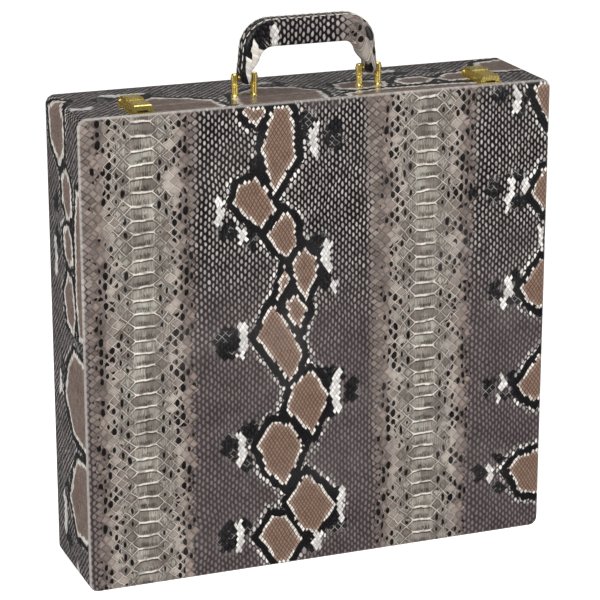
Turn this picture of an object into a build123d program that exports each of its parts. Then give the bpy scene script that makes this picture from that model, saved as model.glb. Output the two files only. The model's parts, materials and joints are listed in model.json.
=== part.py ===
from build123d import *
import os

os.makedirs("parts", exist_ok=True)

# ---------------------------------------------------------------------------
# Chess box: a shallow square attache case that stands on its hinge side.
# X is the width, Y the depth (front at -Y), Z is up; origin at the centre of
# the resting face.  All sizes in millimetres.
# ---------------------------------------------------------------------------
W, D, H = 490.0, 116.0, 480.0          # outer case, without the handle
FRONT, BACK = -D / 2, D / 2
LID_DEPTH = 30.0                       # the front shell
SEAM = FRONT + LID_DEPTH               # parting plane, y = -28
SEAM_GAP = 0.2                         # each rim stands back this much
CORNER_R = 9.0                         # upright and lengthwise corners
EDGE_R = 3.5                           # rounding round the front and back faces
SKIN = 1.0                             # leatherette
WALL = 10.0                            # wooden side boards
PANEL = 5.0                            # front and back panels
CLOTH = 1.0                            # velvet lining
MID = H / 2

# wooden box inside the leatherette
WOOD_W, WOOD_H, WOOD_R = W - 2 * SKIN, H - 2 * SKIN, CORNER_R - SKIN
CAV_W, CAV_H = WOOD_W - 2 * WALL, WOOD_H - 2 * WALL      # 468 x 458
LIN_W, LIN_H = CAV_W - 2 * CLOTH, CAV_H - 2 * CLOTH      # 466 x 456

LID_RIM = SEAM - SEAM_GAP              # -28.2
BASE_RIM = SEAM + SEAM_GAP             # -27.8

# hinges, let into the rims along the resting edge
HINGE_X = (-150.0, 150.0)
HINGE_L = 60.0
AXIS_Z = 2.8
BARREL_R, HPIN_R, HPIN_CLEAR = 2.4, 1.1, 0.05
LEAF_T, LEAF_TOP = 1.0, 10.6
HSCREW_DX = (-22.0, 0.0, 22.0)
HSCREW_Z = 7.3

# chess board kept in the lid
SQUARE = 50.0
BOARD = 450.0
VENEER = 0.7
BOARD_T = 8.0
BOARD_BACK = FRONT + SKIN + PANEL + CLOTH     # -51
BOARD_FACE = BOARD_BACK + BOARD_T             # -43

# tray of compartments in the base
FOAM_T = 28.0
FOAM_BACK = BACK - SKIN - PANEL               # 52
FOAM_FACE = FOAM_BACK - FOAM_T                # 24
TRAY_FACE = FOAM_FACE - CLOTH                 # 23
DIV_T, DIV_FRONT = 4.0, -26.5
COLS, ROWS = 6, 4

# handle
HANDLE_Y = FRONT + 42.0                # -16
HANDLE_X = 65.0                        # centre of each handle leg
POST_DX = 9.75                         # posts stand either side of a leg
PIVOT_Z = H + 18.0
POST_TOP = H + 22.4
POST_R = 3.4
PIN_R, PIN_CLEAR = 1.5, 0.05
BAR_TOP, BAR_UNDER = H + 74.0, H + 46.5
LEG_OUT, LEG_IN, LEG_Z = 68.4, 51.0, H + 40.0   # the legs lean in to the bar
LEG_NECK, LEG_FULL = H + 24.6, H + 27.0         # narrow between the posts, full width above them
HANDLE_HALF_Y = 10.0

# latches
LATCH_X = (-180.0, 180.0)
LATCH_FRONT, LATCH_REAR = -54.4, -6.0
LPIV_Y, LPIV_Z = -11.0, H + 4.6
LPIN_R, LPIN_CLEAR = 1.0, 0.06
PLATE_T = 1.0


def at_y(y):
    """Sketch plane facing the front at depth y: local x is X, local y is Z."""
    return Plane.XZ.offset(-y)


def save(part, label):
    part.label = label
    export_step(part, "parts/" + label + ".step")


# ---------------------------------------------------------------------------
# Cutters shared by several pieces
# ---------------------------------------------------------------------------
with BuildPart() as lid_bevel:          # 45 degree bevel under the lid's rim
    with BuildSketch(Plane.YZ.offset(-W)):
        with BuildLine():
            Polyline((LID_RIM, AXIS_Z), (LID_RIM - AXIS_Z - 1, -1),
                     (LID_RIM + 1, -1), (LID_RIM + 1, AXIS_Z), close=True)
        make_face()
    extrude(amount=2 * W)

with BuildPart() as base_bevel:
    with BuildSketch(Plane.YZ.offset(-W)):
        with BuildLine():
            Polyline((BASE_RIM, AXIS_Z), (BASE_RIM + AXIS_Z + 1, -1),
                     (BASE_RIM - 1, -1), (BASE_RIM - 1, AXIS_Z), close=True)
        make_face()
    extrude(amount=2 * W)

SLANT = SKIN * 2 ** 0.5                 # the skin's thickness measured across a bevel
with BuildPart() as lid_wood_bevel:     # the same bevels on the wood, one skin deeper
    with BuildSketch(Plane.YZ.offset(-W)):
        with BuildLine():
            Polyline((LID_RIM - SKIN, AXIS_Z + SLANT - SKIN), (LID_RIM - SLANT - AXIS_Z - 1, -1),
                     (LID_RIM + 1, -1), (LID_RIM + 1, AXIS_Z + SLANT - SKIN), close=True)
        make_face()
    extrude(amount=2 * W)

with BuildPart() as base_wood_bevel:
    with BuildSketch(Plane.YZ.offset(-W)):
        with BuildLine():
            Polyline((BASE_RIM + SKIN, AXIS_Z + SLANT - SKIN), (BASE_RIM + SLANT + AXIS_Z + 1, -1),
                     (BASE_RIM - 1, -1), (BASE_RIM - 1, AXIS_Z + SLANT - SKIN), close=True)
        make_face()
    extrude(amount=2 * W)

with BuildPart() as barrel_room:        # room for the hinge barrels
    with BuildSketch(Plane.YZ.offset(-(HINGE_L / 2 + 1.3))):
        with Locations((SEAM, AXIS_Z)):
            Circle(BARREL_R + 0.3)
    extrude(amount=HINGE_L + 2.6)

with BuildPart() as leaf_room:          # both leaves' place in the rim
    with Locations((0, SEAM, (AXIS_Z + LEAF_TOP + 1.0) / 2)):
        Box(HINGE_L + 0.4, 2 * (SEAM_GAP + LEAF_T), LEAF_TOP + 1.0 - AXIS_Z)

HINGE_CUTS = [Pos(x, 0, 0) * c.part for x in HINGE_X for c in (barrel_room, leaf_room)]


def wood_corner_planes():
    """The four mitred regions of the frame, as points in X, Z."""
    a, b0, b1 = CAV_W / 2, MID - CAV_H / 2, MID + CAV_H / 2
    k = 30.0
    return {
        "top": [(-a, b1), (a, b1), (a + k, b1 + k), (-a - k, b1 + k)],
        "bottom": [(-a, b0), (-a - k, b0 - k), (a + k, b0 - k), (a, b0)],
        "left": [(-a, b0), (-a, b1), (-a - k, b1 + k), (-a - k, b0 - k)],
        "right": [(a, b1), (a, b0), (a + k, b0 - k), (a + k, b1 + k)],
    }


# ---------------------------------------------------------------------------
# Wooden boards: four mitred walls for the base, four for the lid
# ---------------------------------------------------------------------------
def wall_board(side, y0, y1, bevel, y_screw, into):
    with BuildPart() as board:
        with BuildSketch(at_y(y1)):
            with Locations((0, MID)):
                RectangleRounded(WOOD_W, WOOD_H, WOOD_R)
                Rectangle(CAV_W, CAV_H, mode=Mode.SUBTRACT)
            with BuildLine():
                Polyline(*wood_corner_planes()[side], close=True)
            make_face(mode=Mode.INTERSECT)
        extrude(amount=y1 - y0)
        if side == "bottom":
            add(bevel, mode=Mode.SUBTRACT)
            for cut in HINGE_CUTS:
                add(cut, mode=Mode.SUBTRACT)
            for hx in HINGE_X:
                with Locations(*[(hx + dx, y_screw + into * 7, HSCREW_Z) for dx in HSCREW_DX]):
                    Cylinder(1.0, 14, rotation=(90, 0, 0), mode=Mode.SUBTRACT)
    return board


LW0, LW1 = FRONT + SKIN + PANEL, LID_RIM - SKIN         # lid walls -52 .. -29.2
BW0, BW1 = BASE_RIM + SKIN, BACK - SKIN - PANEL         # base walls -26.8 .. 52

for side in ("left", "right", "bottom"):
    save(wall_board(side, LW0, LW1, lid_wood_bevel.part, LW1, -1).part, "lid_" + side + "_wall")
    save(wall_board(side, BW0, BW1, base_wood_bevel.part, BW0, 1).part, "base_" + side + "_wall")

CATCH_SCREWS = [(x + s * 5.2, -34.5) for x in LATCH_X for s in (-1, 1)]
BASE_LATCH_SCREWS = [(x + s * 5.2, -22.5) for x in LATCH_X for s in (-1, 1)]
POSTS = [(s * HANDLE_X + t * POST_DX, HANDLE_Y) for s in (-1, 1) for t in (-1, 1)]

lid_top = wall_board("top", LW0, LW1, lid_wood_bevel.part, LW1, -1)
with BuildPart() as lid_top_wall:
    add(lid_top.part)
    with Locations(*[(x, y, H - 6) for x, y in CATCH_SCREWS]):
        Cylinder(1.0, 12, mode=Mode.SUBTRACT)
save(lid_top_wall.part, "lid_top_wall")

base_top = wall_board("top", BW0, BW1, base_wood_bevel.part, BW0, 1)
with BuildPart() as base_top_wall:
    add(base_top.part)
    with Locations(*[(x, y, H - 6) for x, y in BASE_LATCH_SCREWS]):
        Cylinder(1.0, 12, mode=Mode.SUBTRACT)
    with Locations(*[(x, y, H - 6) for x, y in POSTS]):
        Cylinder(2.1, 20, mode=Mode.SUBTRACT)                     # post shanks
    with Locations(*[(x, y, H - 8.5) for x, y in POSTS]):
        Cylinder(5.6, 5.0, mode=Mode.SUBTRACT)                    # nuts, from inside
save(base_top_wall.part, "base_top_wall")

# front and back panels, rounded over where the leatherette turns the edge
with BuildPart() as lid_front_panel:
    with BuildSketch(at_y(LW0)):
        with Locations((0, MID)):
            RectangleRounded(WOOD_W, WOOD_H, WOOD_R)
    extrude(amount=PANEL)
    fillet(lid_front_panel.faces().sort_by(Axis.Y)[0].edges(), EDGE_R - SKIN)
save(lid_front_panel.part, "lid_front_panel")

with BuildPart() as base_back_panel:
    with BuildSketch(at_y(BACK - SKIN)):
        with Locations((0, MID)):
            RectangleRounded(WOOD_W, WOOD_H, WOOD_R)
    extrude(amount=PANEL)
    fillet(base_back_panel.faces().sort_by(Axis.Y)[-1].edges(), EDGE_R - SKIN)
save(base_back_panel.part, "base_back_panel")

# ---------------------------------------------------------------------------
# Leatherette: a face sheet, a side strip and a strip under each shell.
# Each shell's skin is the rounded outside less the wooden box inside.
# ---------------------------------------------------------------------------
with BuildPart() as lid_skin:
    with BuildSketch(at_y(LID_RIM)):
        with Locations((0, MID)):
            RectangleRounded(W, H, CORNER_R)
    extrude(amount=LID_RIM - FRONT)
    fillet(lid_skin.faces().sort_by(Axis.Y)[0].edges(), EDGE_R)
    with BuildSketch(at_y(LID_RIM)):
        with Locations((0, MID)):
            Rectangle(CAV_W, CAV_H)
    extrude(amount=SKIN, mode=Mode.SUBTRACT)
    add(lid_bevel.part, mode=Mode.SUBTRACT)

with BuildPart() as lid_wood:
    with BuildSketch(at_y(LW1)):
        with Locations((0, MID)):
            RectangleRounded(WOOD_W, WOOD_H, WOOD_R)
    extrude(amount=LW1 - FRONT - SKIN)
    fillet(lid_wood.faces().sort_by(Axis.Y)[0].edges(), EDGE_R - SKIN)
    add(lid_wood_bevel.part, mode=Mode.SUBTRACT)

with BuildPart() as base_skin:
    with BuildSketch(at_y(BACK)):
        with Locations((0, MID)):
            RectangleRounded(W, H, CORNER_R)
    extrude(amount=BACK - BASE_RIM)
    fillet(base_skin.faces().sort_by(Axis.Y)[-1].edges(), EDGE_R)
    with BuildSketch(at_y(BASE_RIM + SKIN)):
        with Locations((0, MID)):
            Rectangle(CAV_W, CAV_H)
    extrude(amount=SKIN, mode=Mode.SUBTRACT)
    add(base_bevel.part, mode=Mode.SUBTRACT)

with BuildPart() as base_wood:
    with BuildSketch(at_y(BACK - SKIN)):
        with Locations((0, MID)):
            RectangleRounded(WOOD_W, WOOD_H, WOOD_R)
    extrude(amount=BACK - SKIN - BW0)
    fillet(base_wood.faces().sort_by(Axis.Y)[-1].edges(), EDGE_R - SKIN)
    add(base_wood_bevel.part, mode=Mode.SUBTRACT)

STRIP_X = W / 2 - CORNER_R             # the strip below ends where corners start
BIG = 2 * W
FACE_Y, REAR_Y = FRONT + EDGE_R, BACK - EDGE_R          # -54.5, 54.5

with BuildPart() as lid_front_covering:
    add(lid_skin.part)
    add(lid_wood.part, mode=Mode.SUBTRACT)
    with Locations((0, FACE_Y - 50, MID)):
        Box(BIG, 100, BIG, mode=Mode.INTERSECT)
save(lid_front_covering.part, "lid_front_covering")

with BuildPart() as base_back_covering:
    add(base_skin.part)
    add(base_wood.part, mode=Mode.SUBTRACT)
    with Locations((0, REAR_Y + 50, MID)):
        Box(BIG, 100, BIG, mode=Mode.INTERSECT)
save(base_back_covering.part, "base_back_covering")

with BuildPart() as lid_side_covering:
    add(lid_skin.part)
    add(lid_wood.part, mode=Mode.SUBTRACT)
    with Locations((0, FACE_Y + 50, MID)):
        Box(BIG, 100, BIG, mode=Mode.INTERSECT)
    with Locations((0, 0, (SKIN + WALL) / 2)):
        Box(2 * STRIP_X, BIG, SKIN + WALL, mode=Mode.SUBTRACT)
    with Locations(*[(x, y, H - 6) for x, y in CATCH_SCREWS]):
        Cylinder(1.0, 14, mode=Mode.SUBTRACT)
save(lid_side_covering.part, "lid_side_covering")

with BuildPart() as base_side_covering:
    add(base_skin.part)
    add(base_wood.part, mode=Mode.SUBTRACT)
    with Locations((0, REAR_Y - 50, MID)):
        Box(BIG, 100, BIG, mode=Mode.INTERSECT)
    with Locations((0, 0, (SKIN + WALL) / 2)):
        Box(2 * STRIP_X, BIG, SKIN + WALL, mode=Mode.SUBTRACT)
    with Locations(*[(x, y, H - 6) for x, y in BASE_LATCH_SCREWS]):
        Cylinder(1.0, 14, mode=Mode.SUBTRACT)
    with Locations(*[(x, y, H - 6) for x, y in POSTS]):
        Cylinder(2.1, 20, mode=Mode.SUBTRACT)
save(base_side_covering.part, "base_side_covering")

with BuildPart() as lid_bottom_covering:
    add(lid_skin.part)
    add(lid_wood.part, mode=Mode.SUBTRACT)
    with Locations((0, FACE_Y + 50, (SKIN + WALL) / 2)):
        Box(2 * STRIP_X, 100, SKIN + WALL, mode=Mode.INTERSECT)
    for cut in HINGE_CUTS:
        add(cut, mode=Mode.SUBTRACT)
save(lid_bottom_covering.part, "lid_bottom_covering")

with BuildPart() as base_bottom_covering:
    add(base_skin.part)
    add(base_wood.part, mode=Mode.SUBTRACT)
    with Locations((0, REAR_Y - 50, (SKIN + WALL) / 2)):
        Box(2 * STRIP_X, 100, SKIN + WALL, mode=Mode.INTERSECT)
    for cut in HINGE_CUTS:
        add(cut, mode=Mode.SUBTRACT)
save(base_bottom_covering.part, "base_bottom_covering")

# ---------------------------------------------------------------------------
# Linings
# ---------------------------------------------------------------------------
with BuildPart() as lid_lining:
    with BuildSketch(at_y(LW1)):
        with Locations((0, MID)):
            Rectangle(CAV_W, CAV_H)
    extrude(amount=LW1 - LW0)
    with BuildSketch(at_y(LW1)):
        with Locations((0, MID)):
            Rectangle(LIN_W, LIN_H)
    extrude(amount=LW1 - LW0 - CLOTH, mode=Mode.SUBTRACT)
save(lid_lining.part, "lid_lining")

with BuildPart() as base_lining:
    with BuildSketch(at_y(FOAM_BACK)):
        with Locations((0, MID)):
            Rectangle(CAV_W, CAV_H)
            Rectangle(LIN_W, LIN_H, mode=Mode.SUBTRACT)
    extrude(amount=FOAM_BACK - BW0)
save(base_lining.part, "base_lining")

with BuildPart() as foam_bed:
    with BuildSketch(at_y(FOAM_BACK)):
        with Locations((0, MID)):
            Rectangle(LIN_W - 0.4, LIN_H - 0.4)
    extrude(amount=FOAM_T)
save(foam_bed.part, "foam_bed")

with BuildPart() as tray_floor_cloth:
    with BuildSketch(at_y(FOAM_FACE)):
        with Locations((0, MID)):
            Rectangle(LIN_W - 0.4, LIN_H - 0.4)
    extrude(amount=CLOTH)
save(tray_floor_cloth.part, "tray_floor_cloth")

# compartment strips, halved into each other
DIV_MID = (DIV_FRONT + TRAY_FACE) / 2
COL_X = [-LIN_W / 2 + LIN_W / COLS * i for i in range(1, COLS)]
ROW_Z = [MID - LIN_H / 2 + LIN_H / ROWS * j for j in range(1, ROWS)]

with BuildPart() as upright_dividers:
    with Locations(*[(x, DIV_MID, MID) for x in COL_X]):
        Box(DIV_T, TRAY_FACE - DIV_FRONT, LIN_H - 0.4)
    with Locations(*[(x, (DIV_FRONT + DIV_MID) / 2 - 1, z) for x in COL_X for z in ROW_Z]):
        Box(DIV_T + 1, DIV_MID - DIV_FRONT + 2, DIV_T + 0.1, mode=Mode.SUBTRACT)
save(upright_dividers.part, "upright_dividers")

with BuildPart() as cross_dividers:
    with Locations(*[(0, DIV_MID, z) for z in ROW_Z]):
        Box(LIN_W - 0.4, TRAY_FACE - DIV_FRONT, DIV_T)
    with Locations(*[(x, (TRAY_FACE + DIV_MID) / 2 + 1, z) for x in COL_X for z in ROW_Z]):
        Box(DIV_T + 0.1, TRAY_FACE - DIV_MID + 2, DIV_T + 1, mode=Mode.SUBTRACT)
save(cross_dividers.part, "cross_dividers")

# ---------------------------------------------------------------------------
# Chess board in the lid: panel, inlaid squares, mitred border, corner bands
# ---------------------------------------------------------------------------
VEN_BACK = BOARD_FACE - VENEER
with BuildPart() as board_panel:
    with BuildSketch(at_y(VEN_BACK)):
        with Locations((0, MID)):
            Rectangle(BOARD, BOARD)
    extrude(amount=BOARD_T - VENEER)
save(board_panel.part, "board_panel")

cells = {0: [], 1: []}
for i in range(8):
    for j in range(8):
        cells[(i + j) % 2].append(((i - 3.5) * SQUARE, MID + (j - 3.5) * SQUARE))

with BuildPart() as board_dark_squares:
    with BuildSketch(at_y(BOARD_FACE)):
        with Locations(*cells[0]):
            Rectangle(SQUARE - 0.1, SQUARE - 0.1)
    extrude(amount=VENEER)
save(board_dark_squares.part, "board_dark_squares")

with BuildPart() as board_light_squares:
    with BuildSketch(at_y(BOARD_FACE)):
        with Locations(*cells[1]):
            Rectangle(SQUARE - 0.1, SQUARE - 0.1)
    extrude(amount=VENEER)
save(board_light_squares.part, "board_light_squares")

PLAY = 4 * SQUARE
with BuildPart() as board_border:
    with BuildSketch(at_y(BOARD_FACE)):
        with Locations((0, MID)):
            Rectangle(BOARD, BOARD)
            Rectangle(2 * PLAY + 0.1, 2 * PLAY + 0.1, mode=Mode.SUBTRACT)
        with Locations(Location((0, MID), 45), Location((0, MID), -45)):
            Rectangle(2 * BOARD, 0.1, mode=Mode.SUBTRACT)        # mitre joints
    extrude(amount=VENEER)
save(board_border.part, "board_border")

with BuildPart() as board_corner_bands:
    with BuildSketch(at_y(BOARD_FACE + 0.9)):
        for sx in (-1, 1):
            for sz in (-1, 1):
                with Locations(Location((sx * 205, MID + sz * 200), -45 * sx * sz)):
                    Rectangle(200, 16)
        with Locations((0, MID)):
            Rectangle(LIN_W - 0.2, LIN_H - 0.2, mode=Mode.INTERSECT)
    extrude(amount=0.8)
save(board_corner_bands.part, "board_corner_bands")

# ---------------------------------------------------------------------------
# Hinges: two leaves and a pin each, screwed into the rims
# ---------------------------------------------------------------------------
KNUCKLES = [(-30.0, -18.1), (-17.9, -6.1), (-5.9, 5.9), (6.1, 17.9), (18.1, 30.0)]


def hinge_leaf(hx, y0, y1, own, other, screw_y, into):
    face = y1 if into < 0 else y0
    with BuildPart() as leaf:
        with Locations((hx, (y0 + y1) / 2, (AXIS_Z + LEAF_TOP) / 2)):
            Box(HINGE_L, y1 - y0, LEAF_TOP - AXIS_Z)
        for a, b in other:
            with Locations((hx + (a + b) / 2, SEAM, AXIS_Z)):
                Cylinder(BARREL_R + 0.2, b - a + 0.4, rotation=(0, 90, 0), mode=Mode.SUBTRACT)
        for a, b in own:
            with Locations((hx + (a + b) / 2, SEAM, AXIS_Z)):
                Cylinder(BARREL_R, b - a, rotation=(0, 90, 0))
        with Locations((hx, SEAM, AXIS_Z)):
            Cylinder(HPIN_R + HPIN_CLEAR, 2 * HINGE_L, rotation=(0, 90, 0), mode=Mode.SUBTRACT)
        for dx in HSCREW_DX:
            with Locations((hx + dx, (y0 + y1) / 2, HSCREW_Z)):
                if into < 0:
                    Cone(1.0, 1.9, LEAF_T, rotation=(-90, 0, 0), mode=Mode.SUBTRACT)
                else:
                    Cone(1.0, 1.9, LEAF_T, rotation=(90, 0, 0), mode=Mode.SUBTRACT)
    return leaf


for hx, name in zip(HINGE_X, ("left", "right")):
    own_base, own_lid = KNUCKLES[0::2], KNUCKLES[1::2]
    save(hinge_leaf(hx, BASE_RIM, BASE_RIM + LEAF_T, own_base, own_lid, 0, 1).part,
         name + "_hinge_base_leaf")
    save(hinge_leaf(hx, LID_RIM - LEAF_T, LID_RIM, own_lid, own_base, 0, -1).part,
         name + "_hinge_lid_leaf")
    with BuildPart() as hinge_pin:
        with Locations((hx, SEAM, AXIS_Z)):
            Cylinder(HPIN_R, HINGE_L + 1.0, rotation=(0, 90, 0))
        with Locations((hx - HINGE_L / 2 - 0.55, SEAM, AXIS_Z), (hx + HINGE_L / 2 + 0.55, SEAM, AXIS_Z)):
            Cylinder(1.8, 0.9, rotation=(0, 90, 0))
    save(hinge_pin.part, name + "_hinge_pin")

with BuildPart() as hinge_lid_screws:
    for hx in HINGE_X:
        for dx in HSCREW_DX:
            with Locations((hx + dx, LID_RIM - LEAF_T / 2, HSCREW_Z)):
                Cone(1.0, 1.9, LEAF_T, rotation=(-90, 0, 0))
            with Locations((hx + dx, LW1 - 6, HSCREW_Z)):
                Cylinder(1.0, 12, rotation=(90, 0, 0))
            with Locations((hx + dx, LID_RIM, HSCREW_Z)):
                Box(2.6, 0.6, 0.5, mode=Mode.SUBTRACT)
save(hinge_lid_screws.part, "hinge_lid_screws")

with BuildPart() as hinge_base_screws:
    for hx in HINGE_X:
        for dx in HSCREW_DX:
            with Locations((hx + dx, BASE_RIM + LEAF_T / 2, HSCREW_Z)):
                Cone(1.0, 1.9, LEAF_T, rotation=(90, 0, 0))
            with Locations((hx + dx, BW0 + 6, HSCREW_Z)):
                Cylinder(1.0, 12, rotation=(90, 0, 0))
            with Locations((hx + dx, BASE_RIM, HSCREW_Z)):
                Box(2.6, 0.6, 0.5, mode=Mode.SUBTRACT)
save(hinge_base_screws.part, "hinge_base_screws")

# ---------------------------------------------------------------------------
# Handle: four turned posts with nuts, two pins, strap core, padded grip
# ---------------------------------------------------------------------------
with BuildPart() as post_blank:
    with BuildSketch(Plane.XZ):
        with BuildLine():
            Polyline((0, -9.6), (2.1, -9.6), (2.1, 0), (4.6, 0), (4.6, 0.8), (3.9, 1.5), (3.2, 1.9),
                     (3.2, 8.8), (2.8, 9.4), (3.9, 10.2), (3.9, 11.6), (2.8, 12.4), (POST_R, 13.0),
                     (POST_R, 21.0), (2.7, 22.0), (1.4, POST_TOP - H), (0, POST_TOP - H), close=True)
        make_face()
    revolve(axis=Axis.Z)
    with Locations((0, 0, PIVOT_Z - H)):
        Cylinder(PIN_R, 20, rotation=(0, 90, 0), mode=Mode.SUBTRACT)

with BuildPart() as handle_posts:
    with Locations(*[(x, y, H) for x, y in POSTS]):
        add(post_blank.part)
save(handle_posts.part, "handle_posts")

with BuildPart() as handle_post_washers:
    with BuildSketch(Plane.XY.offset(H - 7.0)):
        with Locations(*POSTS):
            Circle(5.2)
            Circle(2.2, mode=Mode.SUBTRACT)
    extrude(amount=1.0)
save(handle_post_washers.part, "handle_post_washers")

with BuildPart() as handle_post_nuts:
    with BuildSketch(Plane.XY.offset(H - 9.8)):
        with Locations(*POSTS):
            RegularPolygon(4.0, 6)
            Circle(2.1, mode=Mode.SUBTRACT)
    extrude(amount=2.8)
save(handle_post_nuts.part, "handle_post_nuts")

PIN_HALF = POST_DX + POST_R + 0.6
with BuildPart() as handle_pins:
    with Locations((-HANDLE_X, HANDLE_Y, PIVOT_Z), (HANDLE_X, HANDLE_Y, PIVOT_Z)):
        Cylinder(PIN_R, 2 * PIN_HALF, rotation=(0, 90, 0))
    chamfer(handle_pins.edges().filter_by(GeomType.CIRCLE), 0.4)
save(handle_pins.part, "handle_pins")

LEG_HALF = 5.7                          # half width of a leg between its posts
END_Z = PIVOT_Z - LEG_HALF
with BuildPart() as handle_solid:
    with BuildSketch(at_y(HANDLE_Y + HANDLE_HALF_Y)) as handle_outline:
        with BuildLine():
            Polyline(
                (-HANDLE_X - LEG_HALF, END_Z), (-HANDLE_X - LEG_HALF, LEG_NECK), (-LEG_OUT, LEG_Z),
                (-LEG_OUT, BAR_TOP), (LEG_OUT, BAR_TOP), (LEG_OUT, LEG_Z),
                (HANDLE_X + LEG_HALF, LEG_NECK), (HANDLE_X + LEG_HALF, END_Z),
                (HANDLE_X - LEG_HALF, END_Z), (HANDLE_X - LEG_HALF, LEG_NECK), (LEG_IN, LEG_FULL),
                (LEG_IN, BAR_UNDER), (-LEG_IN, BAR_UNDER), (-LEG_IN, LEG_FULL),
                (-HANDLE_X + LEG_HALF, LEG_NECK), (-HANDLE_X + LEG_HALF, END_Z), close=True)
        make_face()
        fillet(handle_outline.vertices().filter_by(
            lambda v: abs(abs(v.X) - LEG_OUT) < 0.1 and v.Y > BAR_TOP - 0.1), 30)
        fillet(handle_outline.vertices().filter_by(
            lambda v: abs(abs(v.X) - LEG_IN) < 0.1 and abs(v.Y - BAR_UNDER) < 0.1), 14)
        fillet(handle_outline.vertices().filter_by(lambda v: v.Y < END_Z + 0.1), 5.2)
    extrude(amount=2 * HANDLE_HALF_Y)
    chamfer(handle_solid.faces().sort_by(Axis.Y)[0].edges()
            + handle_solid.faces().sort_by(Axis.Y)[-1].edges(), 3.0)

# steel strap bent to the handle's line, with an eye at each end
STRAP_Z = H + 60.0
STRAP_X = (LEG_OUT + LEG_IN) / 2
with BuildPart() as handle_core:
    with BuildSketch(at_y(HANDLE_Y + 5)) as strap_outline:
        with BuildLine() as strap_line:
            FilletPolyline((-HANDLE_X, PIVOT_Z - 3.6), (-HANDLE_X, PIVOT_Z + 7), (-STRAP_X, LEG_Z),
                           (-STRAP_X, STRAP_Z), (STRAP_X, STRAP_Z), (STRAP_X, LEG_Z),
                           (HANDLE_X, PIVOT_Z + 7), (HANDLE_X, PIVOT_Z - 3.6), radius=9)
            offset(amount=1.5, side=Side.BOTH)
        make_face()
    extrude(amount=10)
    with Locations((-HANDLE_X, HANDLE_Y, PIVOT_Z), (HANDLE_X, HANDLE_Y, PIVOT_Z)):
        Cylinder(2.6, 20, rotation=(0, 90, 0), mode=Mode.SUBTRACT)
save(handle_core.part, "handle_core")

with BuildPart() as handle_bushes:
    for sx in (-1, 1):
        with Locations((sx * HANDLE_X, HANDLE_Y, PIVOT_Z)):
            Cylinder(2.6, 2 * LEG_HALF + 0.5, rotation=(0, 90, 0))
            Cylinder(PIN_R + PIN_CLEAR, 30, rotation=(0, 90, 0), mode=Mode.SUBTRACT)
save(handle_bushes.part, "handle_bushes")

with BuildPart() as handle_grip:
    add(handle_solid.part)
    add(handle_core.part, mode=Mode.SUBTRACT)
    with Locations((-HANDLE_X, HANDLE_Y, PIVOT_Z), (HANDLE_X, HANDLE_Y, PIVOT_Z)):
        Cylinder(2.6, 20, rotation=(0, 90, 0), mode=Mode.SUBTRACT)
save(handle_grip.part, "handle_grip")

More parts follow.
